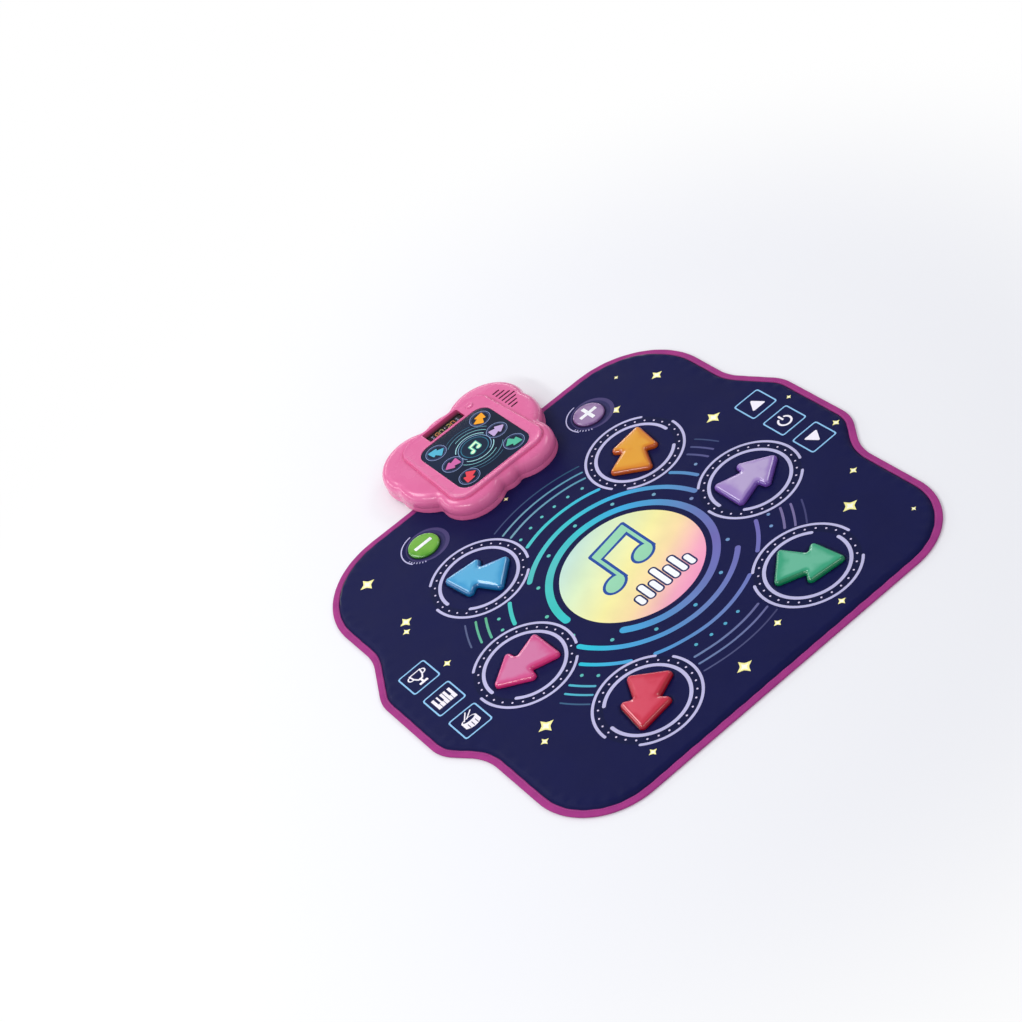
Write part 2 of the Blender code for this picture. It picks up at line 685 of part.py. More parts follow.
def build_sheets():
    """The mat's layers: two shaped sheets at the outside, and foam and films between."""
    rim_low = BINDING_LIP + GAP
    rim_edge = BINDING_TAPE + GAP
    slope_foot = BINDING_WIDTH + GAP
    slope_top = BINDING_WIDTH + SLOPE_RUN
    piece("non_slip_base", "grip_sheet", [
        level(mat_outline(slope_foot + 3 * GAP + BASE_SHEET), 0.0),
        level(mat_outline(slope_foot), rim_low),
        level(mat_outline(rim_edge), rim_low),
        level(mat_outline(rim_edge), rim_low + BASE_SHEET),
        level(mat_outline(slope_foot), rim_low + BASE_SHEET),
        level(mat_outline(slope_foot + 3 * GAP + BASE_SHEET), BASE_TOP),
    ], [clamp_plate_window()])
    cover_low = rim_low + BASE_SHEET + GAP
    piece("top_cover", "printed_cover", [
        level(mat_outline(slope_top + GAP), COVER_BOTTOM),
        level(mat_outline(slope_foot + 2 * GAP), cover_low),
        level(mat_outline(rim_edge), cover_low),
        level(mat_outline(rim_edge), cover_low + COVER_SHEET),
        level(mat_outline(slope_foot), cover_low + COVER_SHEET),
        level(mat_outline(slope_top - GAP), COVER_TOP),
    ], cover_cut_outs())
    build_binding(cover_low + COVER_SHEET + GAP)
    core = mat_outline(CORE_INSET)
    piece("padding_foam", "foam", upright(core, FOAM_BOTTOM, FOAM_TOP), [clamp_plate_window()])
    piece("lower_contact_film", "contact_film", upright(core, LOWER_FILM_BOTTOM, LOWER_FILM_TOP),
          clamp_holes())
    windows = pad_windows(SLIDE_CLEAR) + clamp_holes() + [tail_window(foot=True)]
    piece("spacer_foam", "foam", upright(core, SPACER_BOTTOM, SPACER_TOP),
          windows + touch_key_windows())
    piece("upper_contact_film", "contact_film", upright(core, UPPER_FILM_BOTTOM, UPPER_FILM_TOP), windows)


def cover_cut_outs():
    """Openings of the top cover: arrows, volume discs, clamp bosses and the flat lead."""
    arrow = arrow_outline(-SLIDE_CLEAR)
    cut_outs = [turned_and_placed(arrow, x, y, heading) for x, y, heading in ARROW_PADS.values()]
    cut_outs += [circle(side * VOLUME_X, VOLUME_Y, VOLUME_RADIUS + SLIDE_CLEAR, PAD_SIDES)
                 for side in (-1, 1)]
    return cut_outs + clamp_holes() + [tail_window(foot=False)]


def build_binding(upper_lip_low):
    """Tape folded round the edge, open inwards like a U."""
    top = upper_lip_low + BINDING_LIP
    section = [
        (EDGE_ROUNDING, 0.0),
        (BINDING_WIDTH, 0.0),
        (BINDING_WIDTH, BINDING_LIP),
        (BINDING_TAPE, BINDING_LIP),
        (BINDING_TAPE, upper_lip_low),
        (BINDING_WIDTH, upper_lip_low),
        (BINDING_WIDTH, top),
        (EDGE_ROUNDING, top),
        (0.0, top - EDGE_ROUNDING),
        (0.0, EDGE_ROUNDING),
    ]
    rings = [level(mat_outline(inset), z) for inset, z in section]
    piece("edge_binding", "binding_tape", rings, ring_shaped=True)


def build_arrow_pads():
    """Glossy arrows that stand through the cover on a round flange under it."""
    top = COVER_TOP + ARROW_HEIGHT
    flange = [(PAD_FLANGE_RADIUS, PAD_FLANGE_BOTTOM), (PAD_FLANGE_RADIUS, PAD_FLANGE_TOP)]
    domed = [(0.0, PAD_FLANGE_TOP), (0.0, top - ARROW_SHOULDER)]
    domed += shoulder(0.0, ARROW_SHOULDER, top, 3)
    for name, (x, y, heading) in ARROW_PADS.items():
        rings = turned(x, y, flange, PAD_SIDES)
        for inset, z in domed:
            rings.append(level(turned_and_placed(arrow_outline(inset), x, y, heading), z))
        FINISHES[name] = (PAD_COLOURS[name], 0.12, 0.0)
        piece(name, name, rings, origin=(x, y, COVER_TOP))


def build_volume_pads():
    """Two domed discs with a flange under the cover."""
    flange = VOLUME_RADIUS + VOLUME_FLANGE_REACH
    top = COVER_TOP + VOLUME_HEIGHT
    profile = [
        (flange, PAD_FLANGE_BOTTOM),
        (flange, PAD_FLANGE_TOP),
        (VOLUME_RADIUS, PAD_FLANGE_TOP),
    ]
    profile += [(VOLUME_RADIUS - inset, z) for inset, z in shoulder(0.0, VOLUME_SHOULDER, top, 3)]
    for name, side in (("volume_down", -1), ("volume_up", 1)):
        origin = (side * VOLUME_X, VOLUME_Y, COVER_TOP)
        piece(name + "_pad", name, turned(side * VOLUME_X, VOLUME_Y, profile, PAD_SIDES), origin=origin)


def build_tail():
    """Flat lead whose foot lies on the lower film and which rises into the console."""
    low = LOWER_FILM_TOP + GAP
    top = BOARD_Z - GAP
    section = [
        (TAIL_Y - TAIL_FOOT, low),
        (TAIL_Y + FILM, low),
        (TAIL_Y + FILM, top),
        (TAIL_Y, top),
        (TAIL_Y, low + FILM),
        (TAIL_Y - TAIL_FOOT, low + FILM),
    ]
    rings = [[Vector((x, y, z)) for y, z in section] for x in (-TAIL_HALF_WIDTH, TAIL_HALF_WIDTH)]
    piece("film_tail", "contact_film", rings)


# Fasteners

def screw(name, x, y, head_low, tip):
    """A pan-head screw driven upwards."""
    neck = head_low + SCREW_HEAD
    profile = [
        (SCREW_HEAD_RADIUS - SCREW_HEAD_ROUNDING, head_low),
        (SCREW_HEAD_RADIUS, head_low + SCREW_HEAD_ROUNDING),
        (SCREW_HEAD_RADIUS, neck),
        (SCREW_RADIUS, neck),
        (SCREW_RADIUS, tip - SCREW_RADIUS),
        (SCREW_POINT_RADIUS, tip),
    ]
    return piece(name, "plated_steel", turned(x, y, profile, HOLE_SIDES))


def screw_hole(x, y, low, seat, top, shank_clearance=HOLE_CLEAR):
    """The stepped hole that takes a screw's head up to the seat and its shank above it."""
    head = SCREW_HEAD_RADIUS + HOLE_CLEAR
    shank = SCREW_RADIUS + shank_clearance
    return turned(x, y, [(head, low), (head, seat), (shank, seat), (shank, top)], HOLE_SIDES)


def housing_places():
    """All six housing screws, both sides."""
    return [(side * x, y) for side in (-1, 1) for x, y in HOUSING_SCREWS]


def underside_at(y):
    """Height of the base's underside: over the mat in front, near the floor behind."""
    return FRONT_UNDERSIDE if y < STEP_Y else REAR_UNDERSIDE


def board_places():
    """All four board screws."""
    x = BOARD_HALF_WIDTH - BOARD_SCREW_INSET
    rows = (BOARD_FRONT + BOARD_SCREW_INSET, BOARD_BACK - BOARD_BACK_SCREW_INSET)
    return [(side * x, y) for side in (-1, 1) for y in rows]


def retainer_places():
    """Both screws of the speaker's retainer."""
    return [(SPEAKER_X, SPEAKER_Y + side * RETAINER_SCREW_Y) for side in (-1, 1)]


# Console shells

def build_console_base():
    """The tray: high over the mat in front, down to the feet behind, with a battery box."""
    floor_top = REAR_UNDERSIDE + FLOOR_THICKNESS
    front_floor_top = FRONT_UNDERSIDE + FLOOR_THICKNESS
    outer = [(inset, REAR_UNDERSIDE + depth) for inset, depth in quarter_circle(BOTTOM_ROUNDING, 3)]
    outer += [(0.0, PARTING_Z - PARTING_RUN), (PARTING_TUCK, PARTING_Z)]
    inner = [(WALL + inset, floor_top + depth)
             for inset, depth in quarter_circle(BOTTOM_ROUNDING - WALL, 2)]
    inner += [(WALL + PARTING_TUCK, PARTING_Z), (WALL + PARTING_TUCK, PARTING_Z + THROUGH)]
    base = piece("console_base", "console_pink", [level(cloud_outline(inset), z) for inset, z in outer])
    hollow = cut(base, "base_hollow", [[level(cloud_outline(inset), z) for inset, z in inner]])
    reach = BACK_LOBE_X + BACK_LOBE_RADIUS + 2 * THROUGH
    front = CONSOLE_Y - reach
    cut(hollow, "front_floor", [block(-reach, reach, front, STEP_Y + WALL, -THROUGH, front_floor_top)])
    cut(base, "mat_space", [block(-reach, reach, front, STEP_Y, -THROUGH, FRONT_UNDERSIDE)])
    weld(base, "battery_box", [battery_box()])
    weld(base, "base_bosses", base_bosses())
    cut(base, "battery_space", [block(
        -COMPARTMENT_HALF_X, COMPARTMENT_HALF_X, COMPARTMENT_MIDDLE_Y - COMPARTMENT_HALF_Y,
        COMPARTMENT_MIDDLE_Y + COMPARTMENT_HALF_Y, -THROUGH, COMPARTMENT_TOP)])
    cut(base, "door_seat", [block(-DOOR_HALF_X - GAP, DOOR_HALF_X + GAP, DOOR_FRONT - GAP, DOOR_BACK + GAP,
                                  -THROUGH, DOOR_TOP + GAP)])
    cut(base, "base_holes", base_holes())


def battery_box():
    """The box that stands on the base's floor round the cells, before it is hollowed."""
    outer_x = COMPARTMENT_HALF_X + COMPARTMENT_WALL
    outer_y = COMPARTMENT_HALF_Y + COMPARTMENT_WALL
    return block(-outer_x, outer_x, COMPARTMENT_MIDDLE_Y - outer_y, COMPARTMENT_MIDDLE_Y + outer_y,
                 REAR_UNDERSIDE + FLOOR_THICKNESS / 2, COMPARTMENT_TOP + COMPARTMENT_WALL)


def base_bosses():
    """Screw posts and clamp bosses of the base."""
    inside_floor = REAR_UNDERSIDE + FLOOR_THICKNESS / 2
    shells = []
    for x, y in housing_places():
        low = underside_at(y) + FLOOR_THICKNESS / 2
        shells.append(upright(circle(x, y, BOSS_RADIUS, BOSS_SIDES), low, PARTING_Z - GAP))
    boss_low = GAP + CLAMP_PLATE + GAP
    for x in CLAMP_SCREW_X:
        shells.append(upright(circle(x, CLAMP_Y, CLAMP_BOSS_RADIUS, BOSS_SIDES), boss_low,
                              FRONT_UNDERSIDE + FLOOR_THICKNESS / 2))
    x, y = door_screw_place()
    shells.append(upright(circle(x, y, BOSS_RADIUS, BOSS_SIDES), inside_floor, door_screw_tip() + WALL))
    return shells


def base_holes():
    """Screw holes, foot seats and the slot for the flat lead."""
    shells = []
    for x, y in housing_places():
        low = underside_at(y)
        shells.append(screw_hole(x, y, low - THROUGH, low + HEAD_SEAT, PARTING_Z + THROUGH))
    for x in CLAMP_SCREW_X:
        pilot = circle(x, CLAMP_Y, SCREW_RADIUS + HOLE_CLEAR, HOLE_SIDES)
        shells.append(upright(pilot, -THROUGH, clamp_screw_tip() + HOLE_CLEAR))
    x, y = door_screw_place()
    hole = SCREW_RADIUS + DOOR_SCREW_CLEAR
    shells.append(upright(circle(x, y, hole, HOLE_SIDES), -THROUGH, door_screw_tip() + HOLE_CLEAR))
    for side in (-1, 1):
        for x, y in FOOT_PLACES:
            shells.append(upright(circle(side * x, y, FOOT_RADIUS + HOLE_CLEAR, 12),
                                  -THROUGH, REAR_UNDERSIDE + FOOT_SEAT + GAP))
    slot = tail_window(foot=False)
    shells.append(upright(slot, FRONT_UNDERSIDE - THROUGH, FRONT_UNDERSIDE + FLOOR_THICKNESS + THROUGH))
    return shells


def build_console_top():
    """The glossy cloud: a shell with rounded shoulders, a raised plateau and its openings."""
    outer = [(PARTING_TUCK, PARTING_Z), (0.0, PARTING_Z + PARTING_RUN)]
    outer += shoulder(0.0, SHOULDER_RADIUS, DECK_Z, 5)
    inner = [(PARTING_TUCK + WALL, PARTING_Z), (WALL, PARTING_Z + PARTING_RUN)]
    inner += shoulder(WALL, SHOULDER_RADIUS - WALL, CEILING_Z, 3)
    rings = [level(cloud_outline(inset), z) for inset, z in list(reversed(inner)) + outer]
    top = piece("console_top", "console_pink", rings)
    weld(top, "plateau", [plateau_shell()])
    margin = PLATEAU_CORE_MARGIN
    cut(top, "plateau_core", [upright(plateau_outline(margin), CEILING_Z - THROUGH, CORE_Z)])
    weld(top, "top_bosses", top_bosses())
    cut(top, "panel_seat", [upright(panel_outline(-GAP), PANEL_SEAT_Z, PLATEAU_Z + THROUGH)])
    cut(top, "top_openings", top_openings())
    cut(top, "top_pilots", top_pilots())


def plateau_outline(inset):
    """Outline of the raised plateau, a little narrower at its back."""
    back = PLATEAU_HALF_WIDTH - PLATEAU_TAPER
    return rounded(mirrored([(PLATEAU_HALF_WIDTH, PLATEAU_FRONT, PLATEAU_RADIUS),
                             (back, PLATEAU_BACK, PLATEAU_RADIUS)]), inset)


def plateau_shell():
    """The plateau with a softened upper edge."""
    soft = PLATEAU_RISE / 3
    levels = [(0.0, CEILING_Z + WALL / 4), (0.0, PLATEAU_Z - soft), (0.3 * soft, PLATEAU_Z - 0.3 * soft),
              (soft, PLATEAU_Z)]
    return [level(plateau_outline(inset), z) for inset, z in levels]


def panel_outline(inset):
    """Outline of the light panel."""
    return rounded_box(-PANEL_HALF_WIDTH + inset, PANEL_HALF_WIDTH - inset, PANEL_FRONT + inset,
                       PANEL_BACK - inset, max(PANEL_RADIUS - inset, GAP))


def window_outline(inset):
    """Outline of the display window."""
    return rounded_box(-WINDOW_HALF_WIDTH + inset, WINDOW_HALF_WIDTH - inset, WINDOW_FRONT + inset,
                       WINDOW_BACK - inset, WINDOW_RADIUS)


def top_bosses():
    """Bosses that hang from the deck: housing, board and speaker."""
    in_deck = DECK_Z - WALL / 2
    retainer_top = CEILING_Z - GAP - SPEAKER_RIM - GAP
    groups = [
        (housing_places(), BOSS_RADIUS, PARTING_Z, in_deck),
        (board_places(), SCREW_RADIUS + WALL, BOARD_TOP + GAP, CORE_Z + LEDGE / 2),
        (retainer_places(), SCREW_RADIUS + WALL, retainer_top + GAP, in_deck),
    ]
    shells = []
    for places, radius, low, high in groups:
        for x, y in places:
            shells.append(upright(circle(x, y, radius, BOSS_SIDES), low, high))
    return shells


def top_openings():
    """Openings for light, display, button and sound."""
    low, high = CEILING_Z - THROUGH, PLATEAU_Z + THROUGH
    shells = [
        upright(panel_outline(LEDGE_REACH), low, high),
        upright(window_outline(0.0), low, high),
        upright(circle(BUTTON_X, WINDOW_MIDDLE_Y, BUTTON_RADIUS + SLIDE_CLEAR, PAD_SIDES), low, high),
    ]
    middle = (len(SLOTS_SHORTER_BY) - 1) / 2
    for row, shorter in enumerate(SLOTS_SHORTER_BY):
        y = SPEAKER_Y + (middle - row) * SLOT_PITCH
        half = SLOT_WIDTH / 2
        slot = rounded_box(SLOTS_LEFT, SLOTS_RIGHT - shorter, y - half, y + half, 0.45 * SLOT_WIDTH)
        shells.append(upright(slot, DECK_Z - SHOULDER_RADIUS / 2, high))
    return shells


def top_pilots():
    """Pilot holes of the top's bosses."""
    radius = SCREW_RADIUS + HOLE_CLEAR
    groups = [
        (housing_places(), PARTING_Z - THROUGH, housing_screw_tip()),
        (board_places(), BOARD_Z, board_screw_tip()),
        (retainer_places(), CEILING_Z - THROUGH, retainer_screw_tip()),
    ]
    shells = []
    for places, low, tip in groups:
        for x, y in places:
            shells.append(upright(circle(x, y, radius, HOLE_SIDES), low, tip + GAP))
    return shells


def clamp_screw_tip():
    """Top of the clamp screws, inside their bosses."""
    return FRONT_UNDERSIDE + CLAMP_SCREW_BITE


def housing_screw_tip():
    """Top of the housing screws, inside the upper bosses."""
    return PARTING_Z + HOUSING_SCREW_BITE


def board_screw_tip():
    """Top of the board screws, inside their bosses."""
    return BOARD_TOP + BOARD_SCREW_BITE


def retainer_screw_tip():
    """Top of the retainer screws, within the deck."""
    return CEILING_Z + RETAINER_SCREW_BITE


def door_screw_place():
    """The door's screw, midway along its tab."""
    return 0.0, COMPARTMENT_MIDDLE_Y + COMPARTMENT_HALF_Y + COMPARTMENT_WALL + BOSS_RADIUS / 2


def door_screw_tip():
    """Top of the door's screw."""
    return DOOR_TOP + DOOR_SCREW_BITE


# Pieces inside and on the console

def build_panel_and_lights():
    """Panel, light guide, board, display and lens, one above the other."""
    seat = PANEL_SEAT_Z + GAP
    soft = PANEL_THICKNESS / 5
    piece("light_panel", "smoked_panel", [
        level(panel_outline(0.0), seat),
        level(panel_outline(0.0), seat + PANEL_THICKNESS - soft),
        level(panel_outline(soft), seat + PANEL_THICKNESS),
    ])
    holes = [circle(0.0, PANEL_MIDDLE_Y, GLOW_HOLE_RADIUS, 16)]
    holes += [circle(x, y, LIGHT_HOLE_RADIUS, 12) for x, y in light_places()]
    guide = panel_outline(LEDGE_REACH + SLIDE_CLEAR)
    piece("light_guide", "white_plastic", upright(guide, BOARD_TOP + GAP, PANEL_SEAT_Z), holes)
    lens_top = CORE_Z - GAP
    piece("display_window", "smoked_lens",
          upright(window_outline(-LENS_OVERLAP), lens_top - LENS_THICKNESS, lens_top))
    piece("led_display", "black_plastic",
          upright(window_outline(DISPLAY_MARGIN), BOARD_TOP + GAP, BOARD_TOP + GAP + DISPLAY_HEIGHT))
    build_board()


def light_places():
    """Centres of the six small lights, laid out as the pads are."""
    rows = (LIGHT_PITCH, 0.0, -LIGHT_PITCH)
    return [(side * LIGHT_X, PANEL_MIDDLE_Y + row) for side in (-1, 1) for row in rows]


def build_board():
    """Circuit board with its lamps on top and the flat lead's socket below."""
    outline = rounded_box(-BOARD_HALF_WIDTH, BOARD_HALF_WIDTH, BOARD_FRONT, BOARD_BACK, BOARD_RADIUS)
    holes = [circle(x, y, SCREW_RADIUS + HOLE_CLEAR, HOLE_SIDES) for x, y in board_places()]
    board = piece("main_pcb", "circuit_board", upright(outline, BOARD_Z, BOARD_TOP), holes)
    half = LED_SIZE / 2
    inside = BOARD_Z + BOARD_THICKNESS / 2
    lamps = [block(x - half, x + half, y - half, y + half, inside, BOARD_TOP + LED_HEIGHT)
             for x, y in light_places() + [(0.0, PANEL_MIDDLE_Y)]]
    socket_half = TAIL_HALF_WIDTH + WALL
    lamps.append(block(-socket_half, socket_half, TAIL_Y - 2 * WALL, TAIL_Y + 2 * WALL,
                       BOARD_Z - SOCKET_HEIGHT, inside))
    weld(board, "lamps_and_socket", lamps)
    half = TAIL_HALF_WIDTH + HOLE_CLEAR
    cut(board, "socket_slot", [block(-half, half, TAIL_Y - HOLE_CLEAR, TAIL_Y + FILM + HOLE_CLEAR,
                                     BOARD_Z - SOCKET_HEIGHT - THROUGH, BOARD_Z)])


def build_button():
    """Sprung push button and the switch under it."""
    flange_top = CORE_Z - GAP
    flange = BUTTON_RADIUS + BUTTON_FLANGE_REACH
    top = PLATEAU_Z + BUTTON_PROUD
    switch_top = BOARD_TOP + GAP + SWITCH_HEIGHT + SWITCH_PLUNGER
    stem_low = switch_top + BUTTON_TRAVEL + GAP
    profile = [
        (BUTTON_STEM_RADIUS, stem_low),
        (BUTTON_STEM_RADIUS, flange_top - BUTTON_FLANGE),
        (flange, flange_top - BUTTON_FLANGE),
        (flange, flange_top),
        (BUTTON_RADIUS, flange_top),
        (BUTTON_RADIUS, top - 0.5 * BUTTON_PROUD),
        (BUTTON_RADIUS - 0.8 * BUTTON_PROUD, top),
    ]
    piece("power_button", "console_pink", turned(BUTTON_X, WINDOW_MIDDLE_Y, profile, PAD_SIDES),
          origin=(BUTTON_X, WINDOW_MIDDLE_Y, PLATEAU_Z))
    half = SWITCH_SIZE / 2
    low = BOARD_TOP + GAP
    switch = piece("power_switch", "black_plastic", block(
        BUTTON_X - half, BUTTON_X + half, WINDOW_MIDDLE_Y - half, WINDOW_MIDDLE_Y + half, low,
        low + SWITCH_HEIGHT))
    weld(switch, "plunger", [upright(circle(BUTTON_X, WINDOW_MIDDLE_Y, SWITCH_PLUNGER_RADIUS, 12),
                                     low + SWITCH_HEIGHT / 2, switch_top)])


def build_speaker():
    """Speaker under the slots, and the plate that holds its rim."""
    x, y = SPEAKER_X, SPEAKER_Y
    rim_top = CEILING_Z - GAP
    rim_low = rim_top - SPEAKER_RIM
    low = rim_top - SPEAKER_DEPTH
    profile = [
        (MAGNET_RADIUS, low),
        (MAGNET_RADIUS, low + MAGNET_DEPTH),
        (MAGNET_RADIUS + WALL, low + MAGNET_DEPTH + WALL / 2),
        (SPEAKER_RADIUS - 2 * SPEAKER_RIM, rim_low),
        (SPEAKER_RADIUS, rim_low),
        (SPEAKER_RADIUS, rim_top),
        (SPEAKER_RADIUS - SPEAKER_RIM, rim_top),
        (MAGNET_RADIUS, rim_low - WALL / 2),
    ]
    piece("speaker", "black_plastic", turned(x, y, profile, PAD_SIDES))
    top = rim_low - GAP
    outline = rounded_box(x - SPEAKER_RADIUS, x + SPEAKER_RADIUS, y - RETAINER_HALF_LENGTH,
                          y + RETAINER_HALF_LENGTH, SPEAKER_RADIUS / 2)
    holes = [circle(x, y, SPEAKER_RADIUS - SPEAKER_RIM, PAD_SIDES)]
    holes += [circle(a, b, SCREW_RADIUS + HOLE_CLEAR, HOLE_SIDES) for a, b in retainer_places()]
    piece("speaker_retainer", "white_plastic", upright(outline, top - RETAINER_THICKNESS, top), holes)
    for number, (a, b) in enumerate(retainer_places(), 1):
        screw(f"retainer_screw_{number}", a, b, top - RETAINER_THICKNESS - GAP - SCREW_HEAD,
              retainer_screw_tip())


def build_batteries():
    """Cells, their contact plates, and the hinged door with its captive screw."""
    middle = (CELL_COUNT - 1) / 2
    half = CELL_LENGTH / 2
    for number in range(CELL_COUNT):
        flip = -1 if number % 2 else 1
        profile = [(CELL_RADIUS, -half), (CELL_RADIUS, half), (CELL_NUB_RADIUS, half),
                   (CELL_NUB_RADIUS, half + CELL_NUB)]
        y = COMPARTMENT_MIDDLE_Y + (number - middle) * CELL_PITCH
        rings = turned_along_x(y, CELL_Z, [(radius, flip * x) for radius, x in profile])
        piece(f"battery_cell_{number + 1}", "cell_jacket", rings)
    inner = half + CELL_NUB + GAP
    plate_y = COMPARTMENT_HALF_Y - SLIDE_CLEAR
    for name, side in (("left", -1), ("right", 1)):
        edges = sorted((side * inner, side * (inner + CONTACT)))
        piece("battery_contact_" + name, "plated_steel", block(
            *edges, COMPARTMENT_MIDDLE_Y - plate_y, COMPARTMENT_MIDDLE_Y + plate_y,
            CELL_Z - CELL_RADIUS / 2, CELL_Z + CELL_RADIUS / 2))
    build_door()


def build_door():
    """Door of the battery box, swinging down on its front lower edge."""
    hinge = (0.0, DOOR_FRONT, DOOR_BOTTOM)
    x, y = door_screw_place()
    door = piece("battery_door", "console_pink", block(
        -DOOR_HALF_X, DOOR_HALF_X, DOOR_FRONT, DOOR_BACK, DOOR_BOTTOM, DOOR_TOP), origin=hinge)
    head_low = DOOR_BOTTOM + GAP
    neck = head_low + DOOR_SCREW_HEAD
    cut(door, "door_screw_hole", [screw_hole(x, y, DOOR_BOTTOM - THROUGH, neck + GAP, DOOR_TOP + THROUGH)])
    profile = [
        (SCREW_HEAD_RADIUS, head_low),
        (SCREW_HEAD_RADIUS, neck),
        (SCREW_RADIUS, neck),
        (SCREW_RADIUS, door_screw_tip() - SCREW_RADIUS),
        (SCREW_POINT_RADIUS, door_screw_tip()),
    ]
    piece("battery_door_screw", "plated_steel", turned(x, y, profile, HOLE_SIDES), origin=hinge)


def build_clamp():
    """Plate under the mat, screwed up into the console, that traps the mat's back edge."""
    top = GAP + CLAMP_PLATE
    outline = rectangle(-CLAMP_PLATE_HALF_LENGTH, CLAMP_PLATE_HALF_LENGTH, CLAMP_Y - CLAMP_PLATE_HALF_WIDTH,
                        CLAMP_Y + CLAMP_PLATE_HALF_WIDTH)
    plate = piece("clamp_plate", "black_plastic", upright(outline, GAP, top))
    seat = GAP + SCREW_HEAD + GAP / 2
    cut(plate, "clamp_screw_holes",
        [screw_hole(x, CLAMP_Y, -THROUGH, seat, top + THROUGH) for x in CLAMP_SCREW_X])
    for number, x in enumerate(CLAMP_SCREW_X, 1):
        screw(f"clamp_screw_{number}", x, CLAMP_Y, GAP / 2, clamp_screw_tip())


def build_screws_and_feet():
    """Housing and board screws, and the rubber feet."""
    for number, (x, y) in enumerate(housing_places(), 1):
        head_low = underside_at(y) + HEAD_SEAT - GAP - SCREW_HEAD
        screw(f"housing_screw_{number}", x, y, head_low, housing_screw_tip())
    for number, (x, y) in enumerate(board_places(), 1):
        screw(f"board_screw_{number}", x, y, BOARD_Z - GAP - SCREW_HEAD, board_screw_tip())
    number = 0
    for side in (-1, 1):
        for x, y in FOOT_PLACES:
            number += 1
            profile = [(FOOT_RADIUS - EDGE_ROUNDING, 0.0), (FOOT_RADIUS, EDGE_ROUNDING),
                       (FOOT_RADIUS, REAR_UNDERSIDE + FOOT_SEAT)]
            piece(f"rubber_foot_{number}", "foot_rubber", turned(side * x, y, profile))


def lead(name, finish_name, points):
    """A thin insulated lead along a route."""
    curve = bpy.data.curves.new(name, "CURVE")
    curve.dimensions = "3D"
    curve.bevel_depth = LEAD_RADIUS
    curve.bevel_resolution = 1
    curve.use_fill_caps = True
    curve.render_resolution_u = 0
    spline = curve.splines.new("POLY")
    spline.points.add(len(points) - 1)
    for target, point in zip(spline.points, points):
        target.co = (*point, 1.0)
    made = bpy.data.objects.new(name, curve)
    bpy.context.collection.objects.link(made)
    made.data.materials.append(finish(finish_name, *FINISHES[finish_name]))


def slack(start, end, count=10):
    """Points of a lead that sags between two places."""
    start, end = Vector(start), Vector(end)
    points = []
    for i in range(count + 1):
        point = start.lerp(end, i / count)
        point.z -= LEAD_SAG * math.sin(math.pi * i / count)
        points.append(point)
    return points


def build_leads():
    """Leads from the battery box and from the speaker to the board's underside."""
    under_board = BOARD_Z - LEAD_RADIUS - GAP
    box_top = COMPARTMENT_TOP + COMPARTMENT_WALL + LEAD_RADIUS + GAP
    under_magnet = CEILING_Z - GAP - SPEAKER_DEPTH - LEAD_RADIUS - GAP
    ends = {
        "battery_lead": ((COMPARTMENT_HALF_X / 2, COMPARTMENT_MIDDLE_Y, box_top), BATTERY_LEAD_END),
        "speaker_lead": ((SPEAKER_X, SPEAKER_Y, under_magnet), SPEAKER_LEAD_END),
    }
    for name, (start, (x, y)) in ends.items():
        lead(name, "black_plastic", slack(start, (x, CONSOLE_Y + y, under_board)))


def build_mat():
    """Everything below and beside the console."""
    build_sheets()
    build_arrow_pads()
    build_volume_pads()
    build_tail()
    build_clamp()


def build_console():
    """The console and all that it holds."""
    build_console_base()
    build_console_top()
    build_panel_and_lights()
    build_button()
    build_speaker()
    build_batteries()
    build_screws_and_feet()
    build_leads()


for old in list(bpy.data.objects):
    bpy.data.objects.remove(old, do_unlink=True)
build_mat()
build_console()
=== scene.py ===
# %% [markdown]
# Electronic dance mat. The real thing is a soft printed mat with six glossy arrow pads that light up, and a
# cloud-shaped plastic console clamped over its back edge. Its solids, joints and sizes come from the packed
# model. This file gives each piece its finished shape and surface, one piece at a time, from the floor
# upwards.

# %% Load the model
import math

import bmesh
import bpy
from mathutils import Matrix, Vector, geometry, kdtree, noise


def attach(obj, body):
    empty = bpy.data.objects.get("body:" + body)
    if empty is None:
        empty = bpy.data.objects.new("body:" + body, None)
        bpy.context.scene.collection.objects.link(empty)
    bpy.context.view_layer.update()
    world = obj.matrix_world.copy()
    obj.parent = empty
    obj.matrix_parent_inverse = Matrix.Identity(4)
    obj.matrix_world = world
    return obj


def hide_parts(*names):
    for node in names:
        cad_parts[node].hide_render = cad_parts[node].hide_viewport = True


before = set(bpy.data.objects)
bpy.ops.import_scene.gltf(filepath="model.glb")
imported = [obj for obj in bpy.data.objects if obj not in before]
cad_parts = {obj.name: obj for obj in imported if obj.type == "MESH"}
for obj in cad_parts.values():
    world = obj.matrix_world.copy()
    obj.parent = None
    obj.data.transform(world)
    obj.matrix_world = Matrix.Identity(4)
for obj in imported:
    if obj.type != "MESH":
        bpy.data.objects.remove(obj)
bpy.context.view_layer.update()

# %% [markdown]
# The camera stands where the picture was taken from: high, a little to the left of the mat's front edge,
# and turned about its own axis, so the mat seems to hang to the lower right. A long lens keeps the circles
# even.

# %% Camera
AZIMUTH, ELEVATION, ROLL = (math.radians(angle) for angle in (-18.4, 38.7, 26.9))
AIM, DISTANCE = Vector((-0.0380, 0.3090, 0.0)), 3.708
FOCAL_LENGTH = 80.4

